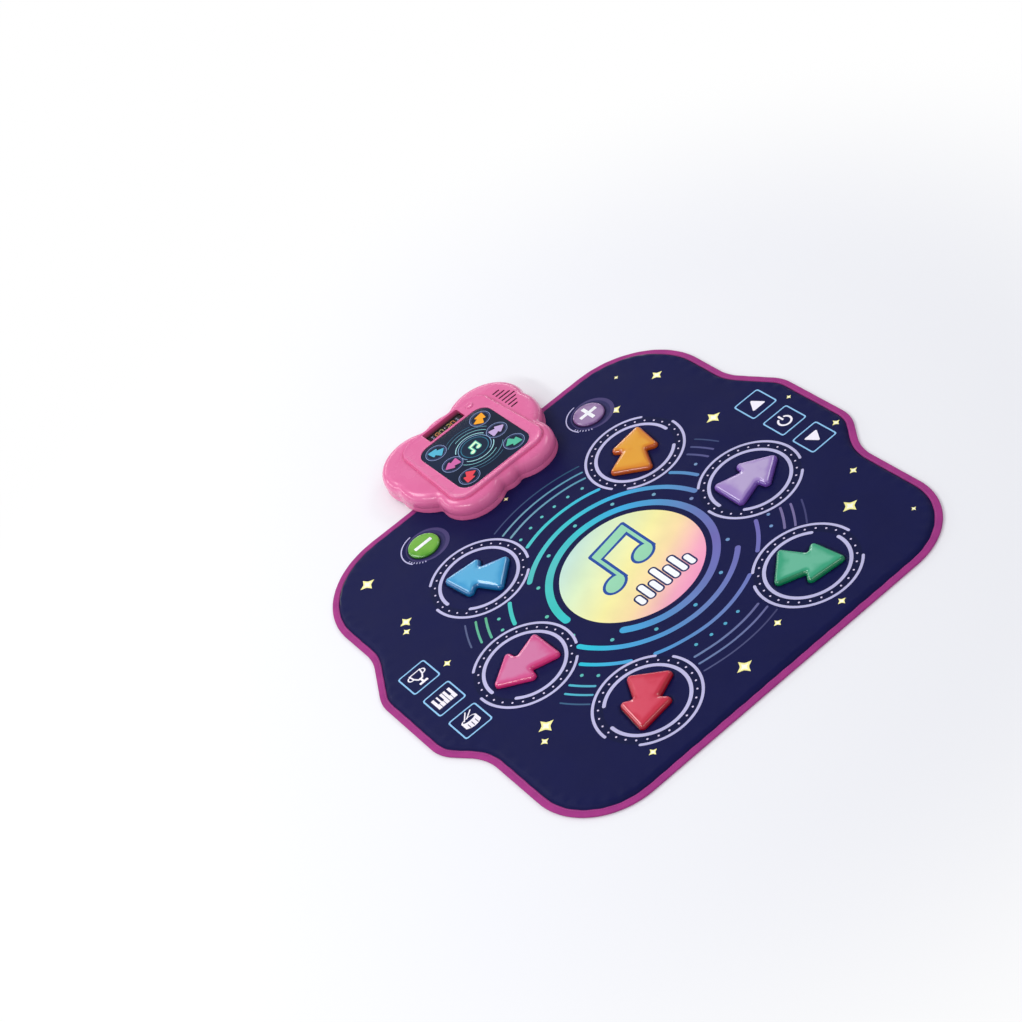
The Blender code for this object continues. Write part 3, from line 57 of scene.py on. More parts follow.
lens = bpy.data.cameras.new("studio_camera")
lens.lens = FOCAL_LENGTH
lens.sensor_width = 36.0
camera = bpy.data.objects.new("studio_camera", lens)
bpy.context.collection.objects.link(camera)
back = Vector((math.sin(AZIMUTH) * math.cos(ELEVATION), -math.cos(AZIMUTH) * math.cos(ELEVATION),
               math.sin(ELEVATION)))
level = Vector((math.cos(AZIMUTH), math.sin(AZIMUTH), 0.0))
right = level * math.cos(ROLL) - back.cross(level) * math.sin(ROLL)
turned_axes = Matrix((right, back.cross(right), back)).transposed().to_4x4()
camera.matrix_world = Matrix.Translation(AIM + DISTANCE * back) @ turned_axes
bpy.context.scene.camera = camera
print("camera at", [round(v, 3) for v in camera.matrix_world.translation])

# %% [markdown]
# Soft studio light. A large softbox behind the left corner models the forms and a weaker one fills the
# right. Four long narrow ones stand round the model and draw the bright lines along the shoulders of arrows
# and console. Each lamp is a rectangle that is turned towards the middle of the mat.

# %% Lamps
MIDDLE = Vector((0.0, 0.15, 0.0))
SOFTBOXES = {
    "key_softbox": ((-1.0, 1.9, 2.2), (1.3, 0.9), 19),
    "left_strip": ((-2.1, -0.35, 1.75), (2.2, 0.22), 21),
    "right_softbox": ((1.9, 0.5, 1.6), (1.2, 0.5), 6),
    "back_strip": ((0.7, 2.7, 0.95), (2.6, 0.25), 9),
    "front_strip": ((0.3, -2.3, 2.1), (2.2, 0.25), 8),
    "low_strip": ((-1.9, 2.1, 0.75), (2.0, 0.20), 8),
}
for name, (place, size, watts) in SOFTBOXES.items():
    lamp = bpy.data.lights.new(name, "AREA")
    lamp.shape = "RECTANGLE"
    lamp.size, lamp.size_y = size
    lamp.energy = watts
    holder = bpy.data.objects.new(name, lamp)
    bpy.context.collection.objects.link(holder)
    holder.location = place
    holder.rotation_euler = (MIDDLE - Vector(place)).to_track_quat("-Z", "Y").to_euler()
print("lamps:", len(SOFTBOXES))

# %% [markdown]
# Every finish is a tree of shader nodes. Colours are written as a screen shows them and turned to the
# linear values that a shader takes. One function adds any node, with its settings, its colour stops and its
# inputs.

# %% Colours and nodes
def linear(hex_colour):
    """Turn an sRGB hex colour into the linear RGBA that a shader takes."""
    channels = [int(hex_colour[i:i + 2], 16) / 255 for i in (1, 3, 5)]
    return [c / 12.92 if c <= 0.04045 else ((c + 0.055) / 1.055) ** 2.4 for c in channels] + [1.0]


def connect(tree, node, inputs):
    """Set each named input, or link it to a socket or to the first output of a node."""
    for name, value in inputs.items():
        if isinstance(value, bpy.types.Node):
            value = value.outputs[0]
        if isinstance(value, bpy.types.NodeSocket):
            tree.links.new(value, node.inputs[name])
        else:
            node.inputs[name].default_value = value


def add_node(tree, kind, inputs=None, stops=(), **settings):
    """Add a shader node with its settings and inputs, and with its colour stops if it has a ramp."""
    node = tree.nodes.new("ShaderNode" + kind)
    for name, value in settings.items():
        setattr(node, name, value)
    connect(tree, node, inputs or {})
    if stops:
        ramp = node.color_ramp.elements
        for element, (position, colour) in zip(ramp, (stops[0], stops[-1])):
            element.position, element.color = position, linear(colour)
        for position, colour in stops[1:-1]:
            ramp.new(position).color = linear(colour)
    return node


WHITE = linear("#FFFFFF")

# %% [markdown]
# The world glows evenly on the object, is dim in reflections so that glossy pieces keep their colour, and
# is plain white where a camera or a lens looks past the object.

# %% Surroundings
def build_world():
    """A world whose strength depends on the kind of ray that meets it."""
    world = bpy.data.worlds.new("studio_world")
    world.use_nodes = True
    tree = world.node_tree
    tree.nodes.clear()
    path = add_node(tree, "LightPath")
    seen, through = path.outputs["Is Camera Ray"], path.outputs["Is Transmission Ray"]
    looking = add_node(tree, "Math", {0: seen, 1: through}, operation="MAXIMUM")
    strength = add_node(tree, "MapRange", {"Value": path.outputs["Is Glossy Ray"], "To Min": 0.66,
                                           "To Max": 0.22})
    glow = add_node(tree, "Background", {"Color": linear("#F2F4FA"), "Strength": strength})
    white = add_node(tree, "Background", {"Color": WHITE, "Strength": 1.0})
    mix = add_node(tree, "MixShader", {0: looking, 1: glow, 2: white})
    add_node(tree, "OutputWorld", {"Surface": mix})
    bpy.context.scene.world = world


build_world()
bpy.context.scene.view_settings.view_transform = "Standard"
print("world:", bpy.context.scene.world.name)

# %% [markdown]
# Most surfaces here share one idea. A single noise, as coarse as the real grain, drives colour, shine and
# relief together, so that a paler speck is also a rougher and a higher one, as it is on a real surface.

# %% Materials
def new_material(name, inputs=None):
    """A node material: its tree, its shader with the inputs that are given, and its object coordinates."""
    material = bpy.data.materials.new(name)
    material.use_nodes = True
    tree = material.node_tree
    shader = tree.nodes["Principled BSDF"]
    connect(tree, shader, inputs or {})
    return material, tree, shader, add_node(tree, "TexCoord").outputs["Object"]


def add_grain(tree, shader, place, grain_mm, tones=(), shine=(), relief=0.0, detail=2.0, contrast=0.5):
    """Give the shader a grain of a size in millimetres, and give back its noise.

    tones are the colour stops along the noise. shine is the part of the noise that counts, from and to, and
    the roughness at its two ends. relief is the strength of the bump.
    """
    grain = add_node(tree, "TexNoise", {"Vector": place, "Scale": 1000 / grain_mm, "Detail": detail,
                                        "Roughness": contrast})
    if tones:
        connect(tree, shader, {"Base Color": add_node(tree, "ValToRGB", {"Fac": grain}, tones)})
    if shine:
        sockets = dict(zip(("From Min", "From Max", "To Min", "To Max"), shine))
        connect(tree, shader, {"Roughness": add_node(tree, "MapRange", {"Value": grain, **sockets})})
    if relief:
        raised = add_node(tree, "Bump", {"Height": grain, "Strength": relief, "Distance": 0.0003})
        connect(tree, shader, {"Normal": raised})
    return grain


def grained(name, grain_mm, inputs=None, **look):
    """A material with such a grain and nothing else."""
    material, tree, shader, place = new_material(name, inputs)
    add_grain(tree, shader, place, grain_mm, **look)
    return material


def plain_plastic(name, dark, light, roughness, coat=0.0, cloud_mm=8.333):
    """Moulded plastic: one colour with a faint cloudiness, and a roughness that wanders a little."""
    return grained(name, cloud_mm, {"Coat Weight": coat, "Coat Roughness": 0.05},
                   tones=[(0.35, dark), (0.65, light)], shine=(0.3, 0.7, 0.85 * roughness, 1.15 * roughness))

# %% [markdown]
# The floor is pale card that keeps the shadow and is white far out. It can be looked through from below.
# Rays shorter than a centimetre pass through it as well, so that the underside, which nearly touches it,
# gets light.

# %% Floor
FLOOR_GAP, FLOOR_HALF, SHORT_RAY = 0.0004, 9.0, 0.01


def floor_card():
    """Matt card, white where the camera sees it far out, and clear from below and for short rays."""
    material, tree, shader, place = new_material("studio_floor",
                                                 {"Base Color": linear("#EFEFF1"), "Roughness": 0.9})
    path = add_node(tree, "LightPath")
    seen = path.outputs["Is Camera Ray"]
    reach = add_node(tree, "VectorMath", {0: place, 1: (0.0, 0.1, 0.0)}, operation="DISTANCE")
    far = add_node(tree, "MapRange", {"Value": reach.outputs["Value"], "From Min": 0.65, "From Max": 1.3},
                   interpolation_type="SMOOTHSTEP")
    seen_far = add_node(tree, "Math", {0: seen, 1: far}, operation="MULTIPLY")
    white = add_node(tree, "Emission", {"Color": WHITE, "Strength": 1.0})
    lit = add_node(tree, "MixShader", {0: seen_far, 1: shader, 2: white})
    back_face = add_node(tree, "NewGeometry").outputs["Backfacing"]
    from_below = add_node(tree, "Math", {0: seen, 1: back_face}, operation="MULTIPLY")
    short = add_node(tree, "Math", {0: path.outputs["Ray Length"], 1: SHORT_RAY}, operation="LESS_THAN")
    let_through = add_node(tree, "Math", {0: from_below, 1: short}, operation="MAXIMUM")
    mix = add_node(tree, "MixShader", {0: let_through, 1: lit, 2: add_node(tree, "BsdfTransparent")})
    connect(tree, tree.nodes["Material Output"], {"Surface": mix})
    return material


bm = bmesh.new()
bmesh.ops.create_grid(bm, x_segments=1, y_segments=1, size=FLOOR_HALF)
floor_mesh = bpy.data.meshes.new("studio_floor")
bm.to_mesh(floor_mesh)
bm.free()
floor = bpy.data.objects.new("studio_floor", floor_mesh)
bpy.context.collection.objects.link(floor)
floor.location.z = -FLOOR_GAP
floor_mesh.materials.append(floor_card())
print("floor:", round(2 * FLOOR_HALF), "m wide")

# %% [markdown]
# Every outline here is a polygon with rounded corners, an oval, or a band along an arc. Each is worked out
# once as points in the floor's plane, in metres, going anticlockwise, with a point every few millimetres.

# %% Outlines
def rounded(corners, step=0.004):
    """Fillet a polygon of (x, y, radius) corners and put a point at least every step along it."""
    points = [Vector(corner[:2]) for corner in corners]
    count = len(points)
    outline = []
    for i, (corner, point) in enumerate(zip(corners, points)):
        before = (point - points[i - 1]).normalized()
        after = (points[(i + 1) % count] - point).normalized()
        turn = math.atan2(before.cross(after), before.dot(after))
        side = math.copysign(1.0, turn)
        radius = corner[2]
        start = point - before * radius * abs(math.tan(turn / 2))
        centre = start + side * radius * Vector((-before.y, before.x))
        steps = max(2, math.ceil(abs(turn) * radius / step))
        for k in range(steps + 1):
            outline.append(centre + Matrix.Rotation(turn * k / steps, 2) @ (start - centre))
    dense = []
    for a, b in zip(outline, outline[1:] + outline[:1]):
        pieces = max(1, math.ceil((b - a).length / step))
        dense += [a.lerp(b, k / pieces) for k in range(pieces)]
    return dense


def box(x, y, half_x, half_y, radius, step=0.004):
    """A rectangle with rounded corners about its middle."""
    signs = ((1, -1), (1, 1), (-1, 1), (-1, -1))
    return rounded([(x + a * half_x, y + b * half_y, radius) for a, b in signs], step)


def oval(x, y, half_x, half_y, count):
    """An ellipse as a polygon."""
    return [Vector((x + half_x * math.cos(math.tau * k / count), y + half_y * math.sin(math.tau * k / count)))
            for k in range(count)]


def disc(x, y, radius, step=0.004):
    """A circle as a polygon."""
    return oval(x, y, radius, radius, max(12, math.ceil(math.tau * radius / step)))


def on_circle(x, y, radius, angle):
    """The point of a circle at an angle in radians."""
    return Vector((x + radius * math.cos(angle), y + radius * math.sin(angle)))


def arc_band(x, y, radius, stroke, start, end, step=0.004):
    """A stroke along an arc from one angle in degrees to another, with round ends."""
    half = stroke / 2
    start, end = math.radians(start), math.radians(end)
    count = max(4, math.ceil((end - start) * radius / step))
    angles = [start + (end - start) * k / count for k in range(count + 1)]

    def cap(angle, first):
        middle = on_circle(x, y, radius, angle)
        return [on_circle(*middle, half, angle + first + math.pi * k / 6) for k in range(1, 6)]

    outer = [on_circle(x, y, radius + half, a) for a in angles]
    inner = [on_circle(x, y, radius - half, a) for a in reversed(angles)]
    return outer + cap(end, 0.0) + inner + cap(start, math.pi)

# %% [markdown]
# An outline can be turned and moved to its place, or grown point by point along its own normals, which
# gives the next section of a solid without changing how many points it has.

# %% Changing an outline
def moved(outline, x, y, heading=0.0, scale=1.0):
    """Scale an outline, turn it by a heading in degrees and move it."""
    turn = Matrix.Rotation(math.radians(heading), 2)
    return [turn @ (scale * Vector(point)) + Vector((x, y)) for point in outline]


def grown(outline, distance):
    """Move an outline outwards, point by point."""
    points = []
    for before, point, after in zip(outline[-1:] + outline[:-1], outline, outline[1:] + outline[:1]):
        along = (after - before).normalized()
        points.append(point + distance * Vector((along.y, -along.x)))
    return points


def gaps_of(outline):
    """Distance from each point of an outline to the next."""
    return [(b - a).length for a, b in zip(outline, outline[1:] + outline[:1])]

# %% [markdown]
# The mat's edge is a rounded square with a shallow lobe on each side. Every layer follows it at its own
# distance inwards, and a search tree tells how far inside it a point lies.

# %% The mat's edge
BODY_HALF, LOBE_X = 0.378, 0.4225
half_edge = [(BODY_HALF, -0.353, 0.122), (BODY_HALF, -0.096, 0.090), (LOBE_X, -0.029, 0.075),
             (LOBE_X, 0.139, 0.075), (BODY_HALF, 0.231, 0.090), (BODY_HALF, 0.466, 0.150)]
edge = rounded(half_edge + [(-x, y, radius) for x, y, radius in reversed(half_edge)], 0.005)
edge_length = sum(gaps_of(edge))
inward = []
for before, after in zip(edge[-1:] + edge[:-1], edge[1:] + edge[:1]):
    along = (after - before).normalized()
    inward.append(Vector((-along.y, along.x)))
edge_tree = kdtree.KDTree(len(edge))
for number, point in enumerate(edge):
    edge_tree.insert(point.to_3d(), number)
edge_tree.balance()


def edge_ring(inset):
    """The mat's edge moved inwards."""
    return [point + inset * way for point, way in zip(edge, inward)]


def from_edge(point):
    """How far inside the mat's edge a point lies, and the number of the edge point that is nearest."""
    _, number, reach = edge_tree.find(Vector((point[0], point[1], 0.0)))
    return reach, number


print("edge points:", len(edge), "perimeter:", round(edge_length, 3), "m")

# %% [markdown]
# A printed sheet is one surface whose inks meet edge to edge. The outline of every printed mark is cut into
# the flat sheet by a constrained triangulation, so each ink has crisp edges at any distance. Loose points
# in a staggered grid fill what lies between, so that the sheet can also bend.

# %% Cutting a sheet
def all_points(outline, lines, spacing):
    """The points of all the lines, and of a staggered grid wherever no line is near."""
    points = [Vector(point) for line in lines for point in line]
    near = kdtree.KDTree(len(points))
    for number, point in enumerate(points):
        near.insert(point.to_3d(), number)
    near.balance()
    low = Vector((min(p.x for p in outline), min(p.y for p in outline)))
    high = Vector((max(p.x for p in outline), max(p.y for p in outline)))
    columns, rows = (math.ceil(v / spacing) for v in high - low)
    for row in range(rows + 1):
        for column in range(columns + 1):
            point = low + spacing * Vector((column + 0.5 * (row % 2), row))
            if near.find(point.to_3d())[2] > 0.6 * spacing:
                points.append(point)
    return points


def cut_sheet(outline, holes, rings, marks, spacing):
    """Triangulate a flat sheet and give the topmost mark's number on each triangle, or -1."""
    loops = [outline] + holes + rings + [mark[0] for mark in marks]
    faces, count = [], 0
    for loop in loops:
        faces.append(list(range(count, count + len(loop))))
        count += len(loop)
    cut = geometry.delaunay_2d_cdt(all_points(outline, loops, spacing), [], faces, 1, 1e-6)
    first_mark = 1 + len(holes) + len(rings)
    hole_numbers = set(range(1, 1 + len(holes)))
    triangles, owners = [], []
    for triangle, inside in zip(cut[2], cut[5]):
        if 0 in inside and not hole_numbers.intersection(inside):
            triangles.append(triangle)
            owners.append(max(inside) - first_mark)
    return cut[0], triangles, owners


def flat_area(cut):
    """Area of a cut sheet, in square metres."""
    coords, triangles, _ = cut
    return sum(geometry.area_tri(*(coords[c] for c in triangle)) for triangle in triangles)

# %% [markdown]
# The cut sheet becomes a mesh at its height, and the colour of each face corner is kept in an attribute
# that the sheet's material reads. A modifier gives it the thickness of the real cloth, downwards.

# %% Sheets in the scene
def sheet_mesh(name, cut, marks, ground, height):
    """Make the sheet's mesh at its height, with its inks in the attribute called ink."""
    coords, triangles, owners = cut
    used = sorted({corner for triangle in triangles for corner in triangle})
    number = {old: new for new, old in enumerate(used)}
    mesh = bpy.data.meshes.new(name)
    places = [(*coords[old], height(coords[old])) for old in used]
    mesh.from_pydata(places, [], [[number[c] for c in triangle] for triangle in triangles])
    ink = mesh.color_attributes.new("ink", "FLOAT_COLOR", "CORNER")
    colours = []
    for triangle, owner in zip(triangles, owners):
        paint = marks[owner][1] if owner >= 0 else ground
        for corner in triangle:
            colours += paint(coords[corner])
    ink.data.foreach_set("color", colours)
    mesh.polygons.foreach_set("use_smooth", [True] * len(mesh.polygons))
    return mesh


def finished(name, bm, smooth):
    """Turn a bmesh into a mesh whose faces are smooth up to an angle in degrees."""
    mesh = bpy.data.meshes.new(name)
    bm.to_mesh(mesh)
    bm.free()
    mesh.shade_smooth()
    mesh.set_sharp_from_angle(angle=math.radians(smooth))
    return mesh


def show(name, shape, material, body="mat", replaced=(), smooth=35):
    """Put a finished mesh or bmesh in the scene as a piece of the model."""
    mesh = shape if isinstance(shape, bpy.types.Mesh) else finished(name, shape, smooth)
    piece = bpy.data.objects.new(name, mesh)
    bpy.context.collection.objects.link(piece)
    mesh.materials.append(material)
    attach(piece, body)
    if replaced:
        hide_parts(*replaced)
    print(f"{name}: {len(mesh.polygons)} faces")
    return piece


def thicken(sheet, thickness):
    """Give a sheet its thickness below its upper face."""
    layer = sheet.modifiers.new("sheet", "SOLIDIFY")
    layer.thickness, layer.offset = thickness, -1.0

# %% [markdown]
# A solid piece is built from its sections: the first ring is one face, and for each further ring that face
# is extruded and moved onto the new ring. Most solids keep one outline and only move its sections in or
# out.

# %% Solids from sections
def at_height(outline, z):
    """Lift an outline to a height."""
    return [Vector((point[0], point[1], z)) for point in outline]


def stacked(rings):
    """A closed solid through rings that have the same number of points."""
    bm = bmesh.new()
    cap = bm.faces.new([bm.verts.new(point) for point in rings[0]])
    for number, ring in enumerate(rings[1:]):
        made = bmesh.ops.extrude_face_region(bm, geom=[cap])["geom"]
        if number > 0:
            bmesh.ops.delete(bm, geom=[cap], context="FACES_ONLY")
        cap = next(part for part in made if isinstance(part, bmesh.types.BMFace))
        for vert, point in zip(cap.verts, ring):
            vert.co = point
    bmesh.ops.recalc_face_normals(bm, faces=bm.faces)
    return bm


def layered(outline, sections):
    """A solid through (inset, height) sections of one outline."""
    return stacked([at_height(grown(outline, -inset), z) for inset, z in sections])


def prism(outline, low, high):
    """An upright solid of an outline."""
    return stacked([at_height(outline, low), at_height(outline, high)])


def shoulder(top, inset, drop, steps, power=2.0, start=0.0):
    """The (inset, height) sections of a rounded upper edge, from its foot up to the flat top."""
    sections = []
    for k in range(steps + 1):
        angle = math.pi / 2 * k / steps
        sections.append((start + inset * (1 - math.cos(angle) ** (2 / power)),
                         top - drop * (1 - math.sin(angle) ** (2 / power))))
    return sections


def lower_edge(low, radius, steps):
    """The same for a rounded lower edge, from the flat underside up to the wall."""
    return [(inset, 2 * low - z) for inset, z in reversed(shoulder(low, radius, radius, steps))]

# %% [markdown]
# A round piece is a profile turned about its axis with the spin operator. Solids are joined and cut with
# the Boolean modifier's exact solver, which leaves clean rims where a hole meets a curved wall.

# %% Turned pieces and Booleans
def turned(profile, x, y, segments=64):
    """Turn a profile of (radius, height) about an upright axis."""
    bm = bmesh.new()
    line = [bm.verts.new((radius, 0.0, z)) for radius, z in profile]
    edges = [bm.edges.new(pair) for pair in zip(line, line[1:])]
    bmesh.ops.spin(bm, geom=line + edges, cent=(0, 0, 0), axis=(0, 0, 1), angle=math.tau, steps=segments,
                   use_merge=True)
    bmesh.ops.remove_doubles(bm, verts=bm.verts, dist=1e-6)
    bmesh.ops.recalc_face_normals(bm, faces=bm.faces)
    bmesh.ops.translate(bm, vec=(x, y, 0.0), verts=bm.verts)
    return bm


def together(parts):
    """Put several solids in one bmesh, as they are."""
    joined = bmesh.new()
    for part in parts:
        mesh = bpy.data.meshes.new("part")
        part.to_mesh(mesh)
        part.free()
        joined.from_mesh(mesh)
        bpy.data.meshes.remove(mesh)
    return joined


def combined(body, tool, operation="DIFFERENCE"):
    """Cut one solid with another, or join them, with a Boolean, and give the result."""
    pair = []
    for part in (body, tool):
        mesh = bpy.data.meshes.new("solid")
        part.to_mesh(mesh)
        part.free()
        pair.append(bpy.data.objects.new("solid", mesh))
        bpy.context.collection.objects.link(pair[-1])
    step = pair[0].modifiers.new("step", "BOOLEAN")
    step.object, step.operation, step.solver = pair[1], operation, "EXACT"
    result = bmesh.new()
    result.from_object(pair[0], bpy.context.evaluated_depsgraph_get())
    for piece in pair:
        mesh = piece.data
        bpy.data.objects.remove(piece)
        bpy.data.meshes.remove(mesh)
    return result

# %% [markdown]
# The inks. Most are flat colours. The rings round the middle change hue with the angle, from teal over blue
# to violet, so their ink is a function of the place. All sizes of the print are in units of R, the radius
# of the ring round a pad.

# %% Inks
R = 0.084
CENTRE_Y = 0.22


def flat(hex_colour):
    """An ink of one colour."""
    colour = linear(hex_colour)
    return lambda point: colour


def blend_colours(stops, position):
    """Colour at a position among sorted (position, colour) stops."""
    for (low, first), (high, second) in zip(stops, stops[1:]):
        if position <= high:
            share = max(0.0, (position - low) / (high - low))
            return [a + (b - a) * share for a, b in zip(first, second)]
    return stops[-1][1]


def round_about(stops):
    """An ink whose hue follows the angle in degrees about the middle of the print."""
    table = [(angle, linear(colour)) for angle, colour in stops]

    def paint(point):
        return blend_colours(table, math.degrees(math.atan2(point[1] - CENTRE_Y * R, point[0])) % 360)

    return paint


field_ink, band_ink, ring_ink, dot_ink = (flat(c) for c in ("#101448", "#0E1440", "#BEBADF", "#D8CCEC"))
star_ink, spark_ink, outline_ink, white_ink = (flat(c) for c in ("#FBF3A0", "#FFFDE8", "#8FC4EC", "#F4EEF8"))
sweep_ink = round_about([
    (0, "#6878B6"), (30, "#5590C4"), (60, "#3AAADC"), (90, "#3DC3CD"), (125, "#52BEBE"), (165, "#3DC2BA"),
    (210, "#2AC0D8"), (225, "#45A6D8"), (250, "#5291CB"), (272, "#6682BC"), (300, "#6C72B6"),
    (330, "#6F69B0"), (360, "#6878B6")])
thin_ink = round_about([
    (0, "#6E62A0"), (30, "#4C5280"), (75, "#5C99B2"), (105, "#74A0B4"), (150, "#62B48A"), (210, "#4CB4CA"),
    (240, "#6A88B0"), (285, "#666696"), (330, "#766C9A"), (360, "#6E62A0")])
faint_ink = round_about([
    (0, "#424274"), (75, "#2C5672"), (105, "#434F76"), (150, "#585E84"), (210, "#3A6082"), (255, "#50557E"),
    (285, "#41426C"), (360, "#424274")])
speck_ink = round_about([
    (0, "#7F84BC"), (90, "#5FC0C0"), (180, "#62C2A8"), (270, "#52A8C8"), (360, "#7F84BC")])

# %% [markdown]
# The print on the cover, from the middle outwards: wide broken rings with dots between them, then thinner
# and fainter ones that the pads interrupt. A mark that is printed later covers an earlier one.

# %% Rings round the middle
marks = []


def print_mark(outline, ink):
    """Add a mark on top of what is printed already."""
    marks.append((outline, ink))


def dots_on_arc(radius, size, angles):
    """Small round dots about the middle of the print."""
    for angle in angles:
        x, y = on_circle(0.0, CENTRE_Y * R, radius * R, math.radians(angle))
        print_mark(disc(x, y, size * R / 2, 0.0012), speck_ink)


GAPS = [(19, 33), (68, 112), (147, 161), (208, 231), (242, 298), (312, 331)]
OUTER_GAPS = [(20, 29), (71, 109), (151, 162), (208, 218), (255, 285), (322, 333)]
for radius, stroke, spans, ink in (
        (3.29, 0.035, OUTER_GAPS, faint_ink), (3.08, 0.045, OUTER_GAPS, thin_ink),
        (2.88, 0.05, OUTER_GAPS, thin_ink), (2.39, 0.08, GAPS, sweep_ink),
        (2.01, 0.11, [(14, 136), (202, 316)], sweep_ink), (1.61, 0.155, [(226, 541)], sweep_ink)):
    for start, end in spans:
        print_mark(arc_band(0.0, CENTRE_Y * R, radius * R, stroke * R, start, end), ink)
dots_on_arc(1.82, 0.08, range(12, 372, 26))
for first, last in OUTER_GAPS:
    dots_on_arc(2.64, 0.07, [first + 3 + 7 * k for k in range(int((last - first - 3) / 7) + 1)])
print("ring marks:", len(marks))

# %% [markdown]
# Two lavender rings with gaps stand round each pad, on a band of darker ink with fine dots in it. The gaps
# follow the printed artwork, so each ring states the angles that it spans.

# %% Rings round the pads
PADS = {
    "upper_left": (-0.1655, 0.220, 135), "upper_right": (0.1655, 0.220, 45), "right": (0.231, 0.0, 0),
    "lower_right": (0.159, -0.219, -45), "lower_left": (-0.159, -0.219, -135), "left": (-0.231, 0.0, 180),
}
SIDE_SPANS = [(178, 316), (336, 496)], (222, 542)
FINE_DOTS = 28
PAD_RINGS = {
    "upper_left": (-1.97, 2.62, *SIDE_SPANS),
    "upper_right": (1.97, 2.62, [(44, 204), (224, 361)], (358, 677)),
    "right": (2.75, 0.0, *SIDE_SPANS),
    "lower_right": (1.89, -2.61, [(155, 317), (0, 135)], (43, 363)),
    "lower_left": (-1.89, -2.61, [(43, 182), (224, 383)], (178, 497)),
    "left": (-2.75, 0.0, *SIDE_SPANS),
}
for x, y, outer_spans, inner_span in PAD_RINGS.values():
    print_mark(disc(x * R, y * R, 0.985 * R), band_ink)
    print_mark(disc(x * R, y * R, 0.80 * R), field_ink)
    for start, end in outer_spans:
        print_mark(arc_band(x * R, y * R, 1.0 * R, 0.055 * R, start, end), ring_ink)
    print_mark(arc_band(x * R, y * R, 0.79 * R, 0.07 * R, *inner_span), ring_ink)
    for k in range(FINE_DOTS):
        dot_x, dot_y = on_circle(x * R, y * R, 0.895 * R, math.tau * k / FINE_DOTS)
        print_mark(disc(dot_x, dot_y, 0.020 * R, 0.0009), dot_ink)
print("with pad rings:", len(marks))

# %% [markdown]
# Pale yellow stars of four sizes are scattered over the field. Each is a four-pointed star with hollow
# sides and a smaller, whiter one on it, which reads as a sparkle.

# %% Stars
STAR_REACHES = (1.0, 0.58, 0.48, 0.58)
STARS = {
    0.15: [(-3.45, 4.52), (-3.39, -1.53), (-0.37, -3.49), (3.32, -2.18), (3.48, 1.97)],
    0.12: [(-3.54, 2.94), (2.53, 3.98), (3.67, 4.02)],
    0.08: [(-3.68, 2.71), (-3.65, 1.32), (-3.62, -1.80), (-2.57, -3.62), (0.65, -3.21), (1.65, -3.79),
           (3.98, -1.55), (4.68, -0.30)],
    0.05: [(-0.35, 3.93), (3.16, 4.75), (3.91, -3.23), (4.68, 1.07)],
}


def star(x, y, reach):
    """Sixteen points whose reach from the centre changes in turn."""
    return [on_circle(x, y, reach * STAR_REACHES[k % 4], math.tau * k / 16) for k in range(16)]


for reach, places in STARS.items():
    for x, y in places:
        print_mark(star(x * R, y * R, 1.15 * reach * R), star_ink)
        print_mark(star(x * R, y * R, 0.62 * reach * R), spark_ink)
print("with stars:", len(marks))

# %% [markdown]
# The middle disc has a soft rainbow ground and a plain musical motif: a pair of beamed notes over a row of
# level bars, each shape laid on a slightly larger one in blue that becomes its outline.

# %% The middle disc
DISC_STOPS = [(0.0, linear("#BFE3DF")), (0.22, linear("#D9ECC2")), (0.48, linear("#F8F0A4")),
              (0.66, linear("#F9DDA6")), (0.86, linear("#F4A9BE")), (1.0, linear("#F08FC0"))]
NOTES = ((-0.42, -0.42, 0.44), (0.34, -0.26, 0.60))
BEAM_ENDS, BEAM_RISE, BEAM_TOP = (-0.277, 0.547), 0.16, 0.46
BARS = (0.26, 0.44, 0.34, 0.58, 0.40, 0.52, 0.30)


def disc_paint(point):
    """Pale mint at the top, yellow across the middle, pink below."""
    x, y = point[0] / R, point[1] / R - CENTRE_Y
    return blend_colours(DISC_STOPS, 0.5 - (0.80 * y - 0.42 * x) / 2.8)


def beamed_notes(grow, head, stem_half, beam_low, beam_radius, count, steps):
    """Two beamed notes in units of their size: head and stem of each, then the beam."""
    shapes = []
    for x, y, top in NOTES:
        shapes.append(moved(oval(0.0, 0.0, head[0] + grow, head[1] + grow, count), x, y, 22))
        shapes.append(box(x + 0.175, (y + top) / 2, stem_half + grow, (top - y) / 2 + grow, 0.03, steps[0]))
    low, high = beam_low - grow, BEAM_TOP + grow
    left, right = BEAM_ENDS[0] - grow, BEAM_ENDS[1] + grow
    beam = [(left, low), (right, low + BEAM_RISE), (right, high + BEAM_RISE), (left, high)]
    return shapes + [rounded([(*corner, beam_radius) for corner in beam], steps[1])]


def level_bars(grow):
    """A row of bars of changing height, low on the disc."""
    return [box(-0.54 + 0.20 * k, -0.98 + tall / 2, 0.058 + grow, tall / 2 + grow, 0.05 + grow, 0.03)
            for k, tall in enumerate(BARS)]


print_mark(disc(0.0, CENTRE_Y * R, 1.41 * R), disc_paint)
for grow, colour in ((0.055, "#2A4FA0"), (0.0, "#98D5B0")):
    for shape in beamed_notes(grow, (0.21, 0.155), 0.032, 0.26, 0.02 + grow / 2, 28, (0.004, 0.04)):
        print_mark(moved(shape, -0.03 * R, (CENTRE_Y + 0.36) * R, 0, 1.08 * R), flat(colour))
for grow, colour in ((0.036, "#27305F"), (0.0, "#F6F8FC")):
    for shape in level_bars(grow):
        print_mark(moved(shape, 0.08 * R, CENTRE_Y * R, 0, R), flat(colour))
print("with the disc:", len(marks))

# %% [markdown]
# Six touch keys: a thin pale-blue square frame with a small white picture of what the key does. A frame is
# a blue rounded square with a smaller one in the ground's colour on it.

